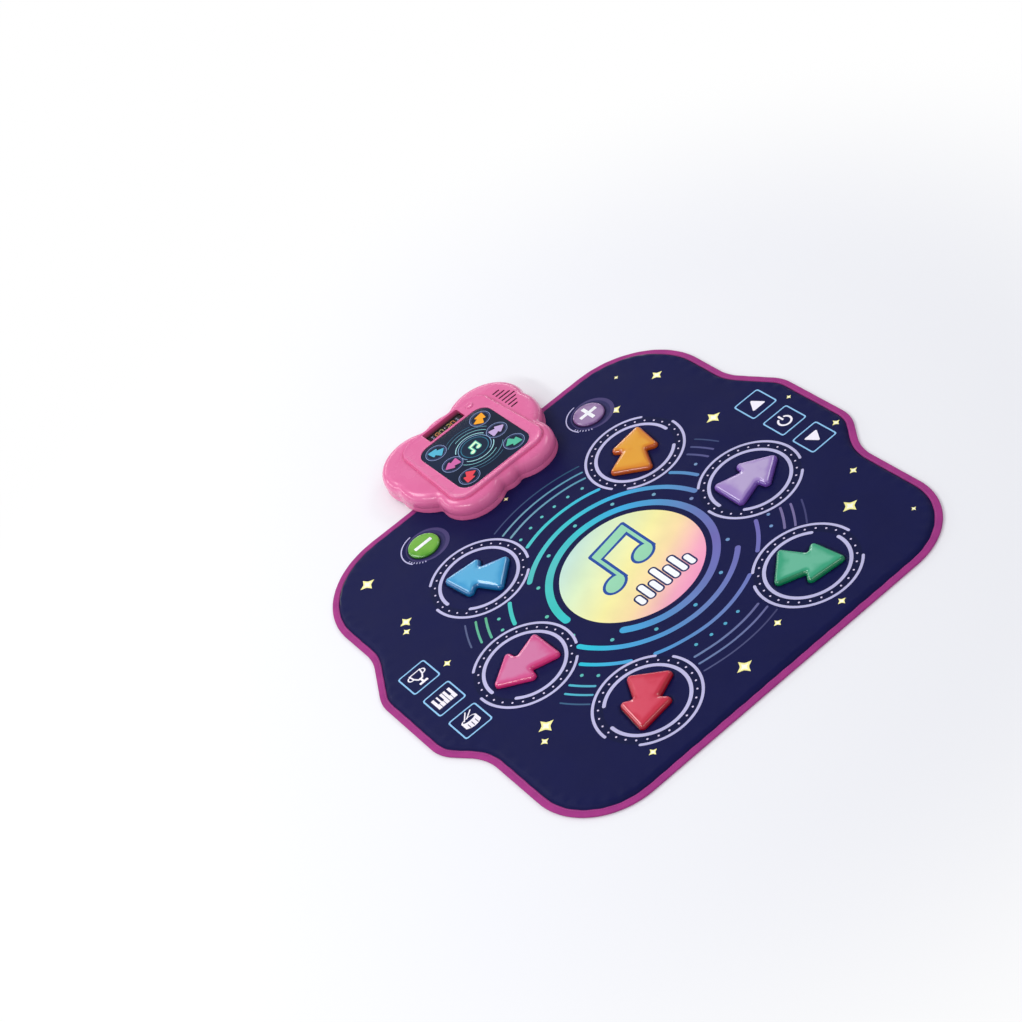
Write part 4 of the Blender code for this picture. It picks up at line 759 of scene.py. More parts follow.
# %% Touch keys
KEY_X, KEY_ROWS = 4.19, (1.51, 0.64, -0.23)
FRAME_HALF, FRAME_INNER, PICTURE_SCALE = 0.312, 0.282, 1.04


def picture(side, row, outlines, ink=white_ink):
    """Print outlines about the middle of a key, which is on the left or right and in one of three rows."""
    for outline in outlines:
        print_mark(moved(outline, side * KEY_X * R, KEY_ROWS[row] * R, 0, PICTURE_SCALE * R), ink)


def fine_box(x, y, half_x, half_y):
    """A small part of a key's picture."""
    return box(x, y, half_x, half_y, 0.006, 0.05)


for side in (-1, 1):
    for row in KEY_ROWS:
        for half, radius, ink in ((FRAME_HALF, 0.05, outline_ink), (FRAME_INNER, 0.035, field_ink)):
            print_mark(box(side * KEY_X * R, row * R, half * R, half * R, radius * R), ink)
triangle = rounded([(-0.16, -0.12, 0.02), (0.16, -0.12, 0.02), (0.0, 0.16, 0.02)], 0.03)
picture(1, 0, [triangle])
picture(1, 2, [moved(triangle, 0, 0, 180)])
picture(1, 1, [arc_band(0, -0.01, 0.125, 0.042, 125, 415, 0.03), fine_box(0.0, 0.11, 0.021, 0.075)])
print("with the right keys:", len(marks))

# %% [markdown]
# The keys on the left show a cup, a keyboard and a drum. Each picture is white shapes with the ground's
# colour laid on them again where a line or a hollow is.

# %% Pictures on the left keys
cup = [Vector(p) for p in ((-0.05, -0.07), (0.05, -0.07), (0.11, 0.03), (0.13, 0.17), (-0.13, 0.17),
                           (-0.11, 0.03))]
picture(-1, 0, [arc_band(-0.125, 0.085, 0.055, 0.026, 70, 290, 0.02),
                arc_band(0.125, 0.085, 0.055, 0.026, 250, 470, 0.02), cup, fine_box(0.0, -0.10, 0.022, 0.05),
                fine_box(0.0, -0.165, 0.09, 0.026)])
picture(-1, 0, [moved(cup, 0, 0.02, 0, 0.74)], field_ink)

picture(-1, 1, [fine_box(0.0, 0.0, 0.205, 0.145)])
picture(-1, 1, [fine_box(-0.123 + 0.082 * k, 0.0, 0.006, 0.145) for k in range(4)], field_ink)
picture(-1, 1, [fine_box(-0.123 + 0.082 * k, 0.06, 0.024, 0.085) for k in (0, 1, 3)], field_ink)

drum_top = oval(0.0, 0.05, 0.16, 0.055, 24)
drum_side = [Vector(p) for p in ((-0.16, 0.05), (-0.16, -0.11), (-0.08, -0.155), (0.0, -0.165),
                                 (0.08, -0.155), (0.16, -0.11), (0.16, 0.05))]
drum_stick = fine_box(0.0, 0.0, 0.11, 0.012)
picture(-1, 2, [drum_side, drum_top])
picture(-1, 2, [moved(drum_top, 0, 0.012, 0, 0.78)], field_ink)
picture(-1, 2, [fine_box(-0.08 + 0.08 * k, -0.09, 0.008, 0.055) for k in range(3)], field_ink)
picture(-1, 2, [moved(drum_stick, 0.06, 0.15, 38), moved(drum_stick, -0.02, 0.15, 52)])
print("with the left keys:", len(marks))

# %% [markdown]
# The two volume pads have a dull halo that is printed a little off centre, like a shadow, and beside it an
# arc with a short row of ticks, as on a dial.

# %% Halos of the volume pads
VOLUME_X, VOLUME_Y, VOLUME_RADIUS = 0.179, 0.366, 0.028
tick = box(0.0375, 0.0, 0.0018, 0.0008, 0.0003, 0.002)
for x in (-VOLUME_X, VOLUME_X):
    print_mark(disc(x + 0.006, VOLUME_Y - 0.002, 0.0385), flat("#4A4272"))
    print_mark(disc(x + 0.003, VOLUME_Y - 0.001, 0.0345), flat("#33305F"))
    print_mark(arc_band(x, VOLUME_Y, 0.0405, 0.0022, 95, 205), ring_ink)
    for k in range(7):
        print_mark(moved(tick, x, VOLUME_Y, 192 + 8 * k), ring_ink)
print("marks:", len(marks))

# %% [markdown]
# The cover's heights. Its rim lies under the binding, then the cloth climbs over the foam's edge with small
# puckers that the stitching pulls, and lies nearly flat with a slight swell away from pads and console.

# %% Heights of the cover
COVER_TOP, RIM_TOP = 0.0085, 0.0029
SLOPE_FOOT, SLOPE_END = 0.0124, 0.0194
SWELL, PUCKER = 0.0009, 0.00045
UNDER_CONSOLE = (0.0, 0.46)
PAD_REACH, VOLUME_REACH, CONSOLE_REACH, SWELL_WIDTH = 0.062, 0.034, 0.165, 0.05


def swell(x, y):
    """How far the padded cover stands proud, zero near the pads and the console."""
    calm = min([math.dist((x, y), centre[:2]) - PAD_REACH for centre in PADS.values()]
               + [math.dist((x, y), (side * VOLUME_X, VOLUME_Y)) - VOLUME_REACH for side in (-1, 1)]
               + [math.dist((x, y), UNDER_CONSOLE) - CONSOLE_REACH])
    share = min(1.0, max(0.0, calm / SWELL_WIDTH))
    lump = noise.noise(Vector((x * 9.0, y * 9.0, 0.3))) + 0.5 * noise.noise(Vector((x * 21.0, y * 21.0, 1.7)))
    return SWELL * share * share * (0.35 + lump)


def cover_height(point):
    """Height of the cover's upper face."""
    inset, number = from_edge(point)
    share = min(1.0, max(0.0, (inset - SLOPE_FOOT) / (SLOPE_END - SLOPE_FOOT)))
    climb = math.sin(share * math.pi / 2) ** 0.85
    x, y = point
    free = math.dist((x, y), UNDER_CONSOLE) >= 0.17 and share > 0
    fade = free * math.exp(-((inset - 0.020) / 0.010) ** 2)
    pucker = PUCKER * fade * (math.sin(number * 1.05) + 0.6 * noise.noise(Vector((x * 60, y * 60, 4.0))))
    return RIM_TOP + (COVER_TOP - RIM_TOP) * climb + pucker + swell(x, y) * (share >= 1)


print("cover rises", round(1000 * (COVER_TOP - RIM_TOP), 1), "mm from its rim")

# %% [markdown]
# The cover is printed polyester cloth with a thin clear film on it: the ink colour comes from the
# attribute, a fine plain weave shows as a small bump, and the film gives a satin shine with slight uneven
# patches. The real threads are 0.4 mm apart, which is too fine for a picture of the whole mat, so they are
# drawn at 1.1 mm.

# %% Printed cloth
THREAD = 0.0011


def printed_cloth():
    """Filmed, printed cloth that takes its colour from the ink attribute."""
    material, tree, shader, place = new_material("filmed_printed_polyester", {"Specular IOR Level": 0.12})
    patches = add_grain(tree, shader, place, 62.5, shine=(0.3, 0.7, 0.44, 0.58), detail=3.0)
    ink = add_node(tree, "Attribute", attribute_name="ink")
    shade = add_node(tree, "MapRange", {"Value": patches, "From Min": 0.3, "From Max": 0.7, "To Min": 0.94,
                                        "To Max": 1.05})
    toned = add_node(tree, "VectorMath", {0: ink, "Scale": shade}, operation="SCALE")
    warp, weft = (add_node(tree, "TexWave", {"Vector": place, "Scale": math.tau / (20 * THREAD),
                                             "Distortion": 0.6, "Detail": 1.0}, bands_direction=axis)
                  for axis in ("X", "Y"))
    weave = add_node(tree, "Math", {0: warp.outputs["Fac"], 1: weft.outputs["Fac"]}, operation="MAXIMUM")
    relief = add_node(tree, "Bump", {"Height": weave, "Strength": 0.35, "Distance": 0.0002})
    connect(tree, shader, {"Base Color": toned, "Normal": relief})
    return material


cover_cloth = printed_cloth()
print("weave drawn at", 1000 * THREAD, "mm")

# %% [markdown]
# Each opening of the cover follows what stands in it: the six double arrows, the two volume discs, and, out
# of sight under the console, the four clamp posts and the flat lead.

# %% Cover
ARROW_HALF = [(-0.048, 0.038, 0.007), (0.0, 0.0205, 0.003), (0.0035, 0.0445, 0.007)]
ARROW_TIP = (0.061, 0.0, 0.007)
CLAMP_Y, TAIL_Y = 0.420, 0.434
CLAMP_XS = (-0.066, -0.022, 0.022, 0.066)
SHEET_INSET, PLAY = 0.0012, 0.0006


def arrow_outline(grow=0.0):
    """A double arrowhead about its own centre, pointing along +X."""
    lower = [(x, -y, radius) for x, y, radius in ARROW_HALF]
    return grown(rounded(lower + [ARROW_TIP] + ARROW_HALF[::-1], 0.002), grow)


openings = [moved(arrow_outline(PLAY), *place) for place in PADS.values()]
openings += [disc(side * VOLUME_X, VOLUME_Y, VOLUME_RADIUS + PLAY, 0.003) for side in (-1, 1)]
openings += [disc(x, CLAMP_Y, 0.0048, 0.002) for x in CLAMP_XS]
openings.append(box(0.0, TAIL_Y, 0.0126, 0.0014, 0.0003))
cover_rings = [edge_ring(inset) for inset in (0.008, 0.0117, SLOPE_FOOT, 0.0133, 0.0144, 0.0157, 0.0174,
                                              SLOPE_END, 0.0230)]
cover_cut = cut_sheet(edge_ring(SHEET_INSET), openings, cover_rings, marks, 0.006)
cover_mesh = sheet_mesh("printed_cover", cover_cut, marks, field_ink, cover_height)
cover = show("printed_cover", cover_mesh, cover_cloth, replaced=["top_cover"])
thicken(cover, 0.0007)
cover_area = flat_area(cover_cut)
print("cover area:", round(cover_area, 3), "m2")

# %% [markdown]
# The underside is a grey needle-felt cloth: short crossing fibres and no shine. It is cut like the cover,
# with one opening for the clamp, and its rim bends up into the binding.

# %% Non-slip base
BASE_TOP, BASE_RIM_TOP, BASE_SLOPE = 0.0008, 0.0017, 0.0018


def base_height(point):
    """Height of the base sheet's upper face."""
    share = min(1.0, max(0.0, (from_edge(point)[0] - SLOPE_FOOT) / BASE_SLOPE))
    return BASE_RIM_TOP + share * (BASE_TOP - BASE_RIM_TOP)


needle_felt = grained("needle_felt_cloth", 1.111, {"Roughness": 0.95, "Sheen Weight": 0.25}, relief=0.5,
                      tones=[(0.35, "#1D1D24"), (0.65, "#34343D")], detail=4.0, contrast=0.7)
base_rings = [edge_ring(inset) for inset in (0.0118, SLOPE_FOOT, 0.0133, 0.0142, 0.020)]
clamp_opening = box(0.0, CLAMP_Y, 0.0766, 0.0086, 0.0004)
base_cut = cut_sheet(edge_ring(SHEET_INSET), [clamp_opening], base_rings, [], 0.012)
base_mesh = sheet_mesh("grip_base", base_cut, [], field_ink, base_height)
grip_base = show("grip_base", base_mesh, needle_felt, replaced=["non_slip_base"])
thicken(grip_base, 0.00045)
base_area = flat_area(base_cut)
print("base area:", round(base_area, 3), "m2")

# %% [markdown]
# Rubbery dots grip the floor. A dot is a low six-sided dome, because there are thousands: they are one
# piece, and a staggered grid places them wherever the edge and the clamp leave room.

# %% Grip dots
DOT_HEIGHT, DOT_PITCH, DOT_ROWS, DOT_COLUMNS = 0.00035, 0.013, 64, 66


def grip_dots():
    """Staggered low domes over the whole underside."""
    rows = []
    for row in range(DOT_ROWS):
        rows.append(bmesh.new())
        for column in range(DOT_COLUMNS):
            x = (column - DOT_COLUMNS / 2 + 0.5 * (row % 2)) * DOT_PITCH
            y = -0.345 + row * DOT_PITCH * 0.97
            reach, number = from_edge((x, y))
            if reach < 0.022 or (Vector((x, y)) - edge[number]).dot(inward[number]) < 0:
                continue
            if abs(x) < 0.085 and abs(y - CLAMP_Y) < 0.014:
                continue
            middle = Matrix.Translation((x, y, DOT_HEIGHT / 2))
            bmesh.ops.create_cone(rows[-1], cap_ends=True, segments=6, radius1=0.0014, radius2=0.0021,
                                  depth=DOT_HEIGHT + 0.0001, matrix=middle)
    return together(rows)


pvc = grained("pvc_dots", 3.333, {"Base Color": linear("#4A4A55")}, shine=(0.0, 1.0, 0.45, 0.7))
dots = show("grip_dots", grip_dots(), pvc, smooth=50)
print("grip dots:", len(dots.data.polygons) // 8)

# %% [markdown]
# The binding is a polyester tape, folded round the edge and sewn through all the layers. It is swept round
# the edge as a U with a full fold, and the seam's pull makes its width and height waver slightly. Its UV
# map runs along the tape in metres, so that its ribs stay square to the edge round every bend.

# %% Edge binding
LOWER_LIP = [(0.0118, 0.0006), (0.0118, 0.0), (0.0090, 0.0), (0.0050, 0.0), (0.0016, 0.0)]
UPPER_LIP = [(0.0016, 0.0038), (0.0050, 0.0042), (0.0090, 0.0041), (0.0111, 0.0038), (0.0118, 0.0034),
             (0.0118, 0.0031)]
TAPE_INSIDE = [(0.0090, 0.0033), (0.0050, 0.0033), (0.0024, 0.0031), (0.0012, 0.0024), (0.0012, 0.0014),
               (0.0024, 0.0007), (0.0050, 0.0006), (0.0090, 0.0006)]


def seam_pull(number):
    """How the seam's tension goes up and down along the edge, by the number of the edge point."""
    return math.sin(number * 1.05) + 0.5 * math.sin(number * 0.37)


def binding_tape():
    """Sweep the tape's section, a list of (inset, height), round the mat's edge."""
    fold = [(0.0016 - 0.0016 * math.sin(math.pi * k / 8), 0.0019 - 0.0019 * math.cos(math.pi * k / 8))
            for k in range(1, 8)]
    section = LOWER_LIP + fold + UPPER_LIP + TAPE_INSIDE
    bm = bmesh.new()
    uv = bm.loops.layers.uv.new("tape")
    rings = []
    for number, (point, way) in enumerate(zip(edge, inward)):
        pull = seam_pull(number)
        ring = []
        for inset, z in section:
            x, y = point + (inset + (0.00022 * pull if inset > 0.008 else 0.0)) * way
            ring.append(bm.verts.new((x, y, z + (0.00012 * pull if z > 0.003 else 0.0))))
        rings.append(ring)
    spacing = edge_length / len(edge)
    across = [0.0]
    for a, b in zip(section, section[1:] + section[:1]):
        across.append(across[-1] + math.dist(a, b))
    for i, ring in enumerate(rings):
        after = rings[(i + 1) % len(rings)]
        for j in range(len(section)):
            k = (j + 1) % len(section)
            face = bm.faces.new((ring[j], ring[k], after[k], after[j]))
            corners = ((i, j), (i, j + 1), (i + 1, j + 1), (i + 1, j))
            for loop, (u, v) in zip(face.loops, corners):
                loop[uv].uv = (u * spacing, across[v])
    bmesh.ops.recalc_face_normals(bm, faces=bm.faces)
    return bm

# %% [markdown]
# Grosgrain is a ribbed tape: fine ribs across its width, with painted shade in their valleys, a soft sheen
# and slightly uneven dye. Real ribs are under a millimetre apart, so they are drawn at 1.8 mm to show.

# %% Grosgrain
RIB, DYE_PATCH_MM = 0.0018, 22.22


def ribbed_tape():
    """Ribs along the tape's UV map, with painted shade in their valleys, over an uneven dye."""
    material, tree, shader, place = new_material("grosgrain_tape", {"Roughness": 0.62,
                                                                    "Specular IOR Level": 0.15})
    along = add_node(tree, "UVMap", uv_map="tape")
    ribs = add_node(tree, "TexWave", {"Vector": along, "Scale": math.tau / (20 * RIB), "Distortion": 0.3},
                    bands_direction="X").outputs["Fac"]
    dye = add_node(tree, "TexNoise", {"Vector": place, "Scale": 1000 / DYE_PATCH_MM, "Detail": 3.0})
    tone = add_node(tree, "ValToRGB", {"Fac": dye}, [(0.3, "#A03482"), (0.7, "#B03A8A")])
    # Painted shade: the dye is darkened in the ribs' valleys.
    valley_shade = add_node(tree, "MapRange", {"Value": ribs, "To Min": 0.84, "To Max": 1.02})
    dye_and_valley_shade = add_node(tree, "VectorMath", {0: tone, "Scale": valley_shade}, operation="SCALE")
    relief = add_node(tree, "Bump", {"Height": ribs, "Strength": 0.6, "Distance": 0.0003})
    connect(tree, shader, {"Base Color": dye_and_valley_shade, "Normal": relief})
    return material


binding = show("binding_tape", binding_tape(), ribbed_tape(), replaced=["edge_binding"],
               smooth=60)
print("ribs drawn at", 1000 * RIB, "mm")

# %% [markdown]
# A lockstitch holds the tape: one short thread after another, sunk a little at its ends. Each is a
# six-sided bar pressed flat, and two rows of them run round the mat, above and below.

# %% Stitches
SEAM_INSET, STITCH_PITCH, STITCH_LENGTH, THREAD_RADIUS = 0.0097, 0.0040, 0.0030, 0.00035
SEAM_TOP, SEAM_UNDER = 0.0041, 0.00012


def stitch(bm, middle, height, heading, flatness):
    """One flattened bar of thread that lies along a heading."""
    turned_bar = Matrix.Translation((*middle, height)) @ Matrix.Rotation(heading, 4, "Z")
    flat_bar = Matrix.Diagonal((1.0, 1.0, flatness, 1.0)) @ Matrix.Rotation(math.pi / 2, 4, "Y")
    bmesh.ops.create_cone(bm, cap_ends=True, segments=6, radius1=THREAD_RADIUS, radius2=THREAD_RADIUS,
                          depth=STITCH_LENGTH, matrix=turned_bar @ flat_bar)


def stitches():
    """Stitches along the tape's inner edge, on both faces."""
    seam = edge_ring(SEAM_INSET)
    gaps = gaps_of(seam)
    count = round(sum(gaps) / STITCH_PITCH)
    lengths = []
    index, walked = 0, 0.0
    for k in range(count):
        if k % 40 == 0:
            lengths.append(bmesh.new())
        wanted = sum(gaps) * k / count
        while walked + gaps[index] < wanted:
            walked += gaps[index]
            index += 1
        a, b = seam[index], seam[(index + 1) % len(seam)]
        share = (wanted - walked) / gaps[index]
        heading = math.atan2(b.y - a.y, b.x - a.x)
        stitch(lengths[-1], a.lerp(b, share), SEAM_TOP + 0.00012 * seam_pull(index + share), heading, 0.55)
        stitch(lengths[-1], a.lerp(b, share), SEAM_UNDER, heading, 0.3)
    print("stitches:", 2 * count)
    return together(lengths)


thread = grained("spun_polyester_thread", 0.4, {"Roughness": 0.55},
                 tones=[(0.0, "#8E2A70"), (1.0, "#D069AE")])
show("binding_stitches", stitches(), thread, smooth=70)

# %% [markdown]
# The arrow pads are thick and puffy. Their colour climbs a ramp with height that paints light and shade:
# the low rim is painted in deep, saturated shade and the crown is painted pale, as light that enters them
# would show. A clear coat gives the sharp highlights along the shoulders.

# %% Pad plastic
def pad_plastic(name, rim, body, crown, low, high):
    """Glossy plastic whose colour runs from painted shade on the rim to painted light on the crown."""
    material, tree, shader, place = new_material(name, {"Coat Weight": 1.0, "Coat Roughness": 0.06,
                                                        "Coat IOR": 1.6})
    flow = add_grain(tree, shader, place, 26.32, shine=(0.0, 1.0, 0.16, 0.30))
    height = add_node(tree, "SeparateXYZ", {0: place}).outputs["Z"]
    share = add_node(tree, "MapRange", {"Value": height, "From Min": low, "From Max": high})
    drift = add_node(tree, "MapRange", {"Value": flow, "From Min": 0.3, "From Max": 0.7, "To Min": -0.10,
                                        "To Max": 0.10})
    climb = add_node(tree, "Math", {0: share, 1: drift}, operation="ADD", use_clamp=True)
    tone = add_node(tree, "ValToRGB", {"Fac": climb}, [(0.0, rim), (0.72, body), (1.0, crown)])
    tone.color_ramp.interpolation = "EASE"
    connect(tree, shader, {"Base Color": tone})
    return material

# %% [markdown]
# One arrow is modelled about its own centre and copied to the six places. Its wide flange lies hidden under
# the cover and keeps the pad from coming out.

# %% Arrow pads
PAD_LOW, PAD_TOP, PAD_ROUNDING = 0.0064, 0.0163, 0.0055
FLANGE_TOP, FLANGE_RADIUS = 0.0073, 0.065
# The heights between which a pad's colour runs from the rim's painted shade to the crown's painted light.
RIM_SHADE_BELOW, CROWN_LIGHT_ABOVE = 0.0144, 0.0173
CROWN = ((0.90, 0.0004), (0.74, 0.0008), (0.52, 0.0011), (0.28, 0.0012))
# Per pad: the rim's painted shade, the plastic's own colour, the crown's painted light.
PAD_LOOKS = {
    "upper_left": ("#0E6AA4", "#3E9FD2", "#5AB2DE"), "upper_right": ("#BC4E08", "#E08A1C", "#EBA42C"),
    "right": ("#7048A8", "#A588C8", "#BCA8D4"), "lower_right": ("#088052", "#34A57C", "#66BC9A"),
    "lower_left": ("#B40E26", "#CE2A46", "#DC4860"), "left": ("#DC2C78", "#DA5490", "#DA7AA8"),
}


def arrow_solid():
    """An arrow with a round shoulder and a slight crown, on its flange."""
    rings = [at_height(arrow_outline(), PAD_LOW + 0.0002)]
    rings += [at_height(arrow_outline(-inset), z)
              for inset, z in shoulder(PAD_TOP, PAD_ROUNDING, PAD_ROUNDING, 9, 1.6)]
    middle = Vector((0.010, 0.0))
    for share, rise in CROWN:
        rings.append(at_height([middle.lerp(point, share) for point in arrow_outline(-PAD_ROUNDING)],
                               PAD_TOP + rise))
    return combined(stacked(rings), prism(disc(0.0, 0.0, FLANGE_RADIUS), PAD_LOW, FLANGE_TOP), "UNION")


arrow_template = arrow_solid()
for name, (x, y, heading) in PADS.items():
    pad = arrow_template.copy()
    bmesh.ops.transform(pad, verts=pad.verts, matrix=Matrix.Translation((x, y, 0.0))
                        @ Matrix.Rotation(math.radians(heading), 4, "Z"))
    plastic = pad_plastic(f"cast_vinyl_{name}", *PAD_LOOKS[name], RIM_SHADE_BELOW, CROWN_LIGHT_ABOVE)
    show(f"arrow_{name}", pad, plastic, body=f"{name}_arrow", replaced=[f"pad_{name}"])
arrow_template.free()

# %% [markdown]
# The two volume pads are round, lower and of the same plastic, with painted shade on the rim and painted
# light on the crown. A white minus and a white plus stand a hair proud of their crowns.

# %% Volume pads
VOLUME_TOP, VOLUME_ROUNDING, VOLUME_FLANGE = 0.0130, 0.0035, 0.032
MARK_LOW, MARK_TOP = 0.0128, 0.01385
# Per pad: its side, then the rim's painted shade, the plastic's own colour and the crown's painted light.
VOLUME_LOOKS = {"volume_down": (-1, "#1E4E10", "#4C9A1C", "#74B43C"),
                "volume_up": (1, "#3E2250", "#7C5590", "#A183AE")}


def volume_pad(side):
    """A domed disc with its flange."""
    profile = [(0.0, PAD_LOW), (VOLUME_FLANGE, PAD_LOW), (VOLUME_FLANGE, FLANGE_TOP),
               (VOLUME_RADIUS, FLANGE_TOP)]
    profile += [(VOLUME_RADIUS - inset, z)
                for inset, z in shoulder(VOLUME_TOP, VOLUME_ROUNDING, VOLUME_ROUNDING, 7)]
    profile += [(0.018, VOLUME_TOP + 0.0003), (0.010, VOLUME_TOP + 0.0005), (0.0, VOLUME_TOP + 0.0006)]
    return turned(profile, side * VOLUME_X, VOLUME_Y, 96)


white_print = plain_plastic("white_pad_print", "#ECECF0", "#FAFAFC", 0.4)
bar = box(0.0, 0.0, 0.0170, 0.0034, 0.0010, 0.002)
for name, (side, *look) in VOLUME_LOOKS.items():
    show(f"{name}_disc", volume_pad(side), pad_plastic(f"cast_vinyl_{name}", *look, 0.0086, 0.0136),
         body=name, replaced=[f"{name}_pad"])
    sign = prism(moved(bar, side * VOLUME_X, VOLUME_Y), MARK_LOW, MARK_TOP)
    if side == 1:
        sign = combined(sign, prism(moved(bar, VOLUME_X, VOLUME_Y, 90), MARK_LOW, MARK_TOP), "UNION")
    show(f"{name}_mark", sign, white_print, body=name)

# %% [markdown]
# The console is a cloud of overlapping discs. Its outline is the farthest reach of any disc as seen from
# the middle, smoothed a little so that the valleys stay round, and every section is that outline moved
# inwards.

# %% The console's outline
CONSOLE_Y, WINDOW_Y, PANEL_Y = 0.457, 0.5395, 0.4415
CLOUD = [(0.0, 0.061, 0.062), (0.0, -0.092, 0.026)]
for side in (-1, 1):
    CLOUD += [(side * 0.071, 0.059, 0.073), (side * 0.058, 0.015, 0.084), (side * 0.055, -0.069, 0.058)]
CLOUD_POINTS = 360


def cloud_outline():
    """The smoothed union of the discs, seen from the console's middle."""
    rays = [on_circle(0.0, 0.0, 1.0, math.tau * k / CLOUD_POINTS) for k in range(CLOUD_POINTS)]
    reaches = []
    for ray in rays:
        best = 0.0
        for x, y, radius in CLOUD:
            along = ray.dot(Vector((x, y)))
            rest = along * along - x * x - y * y + radius * radius
            if rest > 0:
                best = max(best, along + math.sqrt(rest))
        reaches.append(best)
    for _ in range(4):
        reaches = [(reaches[k - 1] + 2 * reaches[k] + reaches[(k + 1) % CLOUD_POINTS]) / 4
                   for k in range(CLOUD_POINTS)]
    return [Vector((0.0, CONSOLE_Y)) + reach * ray for reach, ray in zip(reaches, rays)]


cloud = cloud_outline()
PLATEAU_CORNERS = ((0.097, 0.352), (0.088, 0.560), (-0.088, 0.560), (-0.097, 0.352))
plateau = rounded([(x, y, 0.030) for x, y in PLATEAU_CORNERS])
panel = box(0.0, PANEL_Y, 0.074, 0.0785, 0.024, 0.003)
window = box(0.0, WINDOW_Y, 0.038, 0.0145, 0.0025, 0.0012)
console_size = [max(p[k] for p in cloud) - min(p[k] for p in cloud) for k in (0, 1)]
print("console:", [round(1000 * size, 1) for size in console_size], "mm")

# %% [markdown]
# The upper half of the console is a hollow shell. A shallow groove runs round the plateau, whose edge has a
# soft bead, and inside stand the posts of the housing screws.

# %% Console shell
PARTING, DECK, CEILING = 0.018, 0.042, 0.0398
PLATEAU, CORE, PANEL_SEAT = 0.046, 0.0416, 0.0434
POST_RADIUS = 0.004
HOUSING_SCREWS = [(side * x, y) for side in (-1, 1)
                  for x, y in ((0.098, 0.395), (0.124, 0.460), (0.100, 0.545))]


def console_shell():
    """The cloud with its plateau, hollowed from below round its screw posts."""
    outer = [(0.0006, PARTING), (0.0002, 0.0205)] + shoulder(DECK, 0.017, 0.018, 10, 2.2)
    inner = [(0.0028, PARTING - 0.001), (0.0023, 0.0215)] + shoulder(CEILING, 0.0155, 0.0165, 6, 2.2, 0.0022)
    groove = [(-0.0014, DECK - 0.0014), (-0.0030, DECK - 0.0005), (-0.0058, DECK + 0.0002)]
    rise = [(0.0, 0.038), (0.0, 0.0446), (0.0004, 0.0458), (0.0012, 0.0467), (0.0023, 0.0471),
            (0.0034, 0.0470), (0.0048, 0.0466), (0.0066, 0.0462), (0.0088, PLATEAU)]
    solid = combined(layered(cloud, outer), layered(plateau, groove))
    solid = combined(solid, layered(plateau, rise), "UNION")
    posts = together([prism(disc(x, y, POST_RADIUS), 0.0, 0.050) for x, y in HOUSING_SCREWS])
    hollow = combined(layered(cloud, inner), posts)
    core = prism(grown(plateau, -0.0025), 0.0358, CORE)
    return combined(combined(solid, hollow), core)


def raised_lip(outline, width, height):
    """A half-round bead that follows an outline on the plateau."""
    sections = [(-width, PLATEAU - 0.0006)] + shoulder(PLATEAU + height, width / 2, height, 4, start=-width)
    sections += [(-0.2 * width, PLATEAU + 0.8 * height), (0.0005, PLATEAU + 0.2 * height)]
    return layered(outline, sections)

# %% [markdown]
# The shell gets a raised lip round the panel and the window, then its openings: the panel's seat, the
# window, the hole for the push button and the speaker's seven slots. The plastic is glossy ABS: its pink is
# slightly deeper in places, and its gloss wanders a little with the flow of the moulding.

# %% Console top
BUTTON_X, BUTTON_Y, BUTTON_RADIUS = 0.057, WINDOW_Y, 0.007
SLOT_X, SLOT_Y, SLOT_PITCH, SLOT_HALF = 0.0995, 0.500, 0.0096, 0.0020
SLOT_LENGTHS = (0.015, 0.020, 0.025, 0.029, 0.025, 0.020, 0.015)
ABOVE, BELOW = 0.048, CEILING - 0.002


def slot_outlines():
    """The seven slots in front of the speaker."""
    return [box(SLOT_X + length / 2, SLOT_Y + (3 - row) * SLOT_PITCH, length / 2, SLOT_HALF, 0.0019, 0.0008)
            for row, length in enumerate(SLOT_LENGTHS)]


def console_top():
    """Add the lips and cut the openings."""
    lips = together([raised_lip(panel, 0.0020, 0.0007), raised_lip(window, 0.0016, 0.0005)])
    top = combined(console_shell(), lips, "UNION")
    cuts = [prism(grown(panel, -0.004), BELOW, 0.0436), prism(window, BELOW, ABOVE),
            prism(disc(BUTTON_X, BUTTON_Y, BUTTON_RADIUS + 0.0003, 0.0012), BELOW, ABOVE)]
    cuts += [prism(outline, 0.034, ABOVE) for outline in slot_outlines()]
    top = combined(top, prism(grown(panel, 0.0003), PANEL_SEAT, ABOVE))
    top = combined(top, together(cuts))
    bmesh.ops.remove_doubles(top, verts=top.verts, dist=1e-6)
    bmesh.ops.recalc_face_normals(top, faces=top.faces)
    return top


glossy_abs = plain_plastic("glossy_pink_abs", "#E26A9E", "#E670A4", 0.27, coat=0.4, cloud_mm=45.45)
show("console_shell", console_top(), glossy_abs, replaced=["console_top"], smooth=28)

# %% [markdown]
# A soft dark insert closes the speaker's slots from inside and paints the shade in them. Its seven ribs reach
# up into the slots to just below the surface, so that the slots read as dark lines.

# %% Speaker insert
INSERT_LOW, INSERT_TOP = 0.0392, 0.0409
insert_middle = Vector((0.113, SLOT_Y))
# Painted shade: a near-black red that stands for the dark inside the slots.
slot_shade_felt = plain_plastic("painted_slot_shade_felt", "#2A0C1C", "#3C1228", 0.95, cloud_mm=0.6667)
ribs = [prism([point.lerp(insert_middle, 0.004) for point in outline], INSERT_LOW, INSERT_TOP)
        for outline in slot_outlines()]
show("slot_shade_insert", together(ribs), slot_shade_felt)

# %% [markdown]
# The lower half stands on the floor behind the mat and reaches over the mat in front, where four posts go
# down through it to the clamp plate. It holds the battery box, and has seats for its feet and screws.

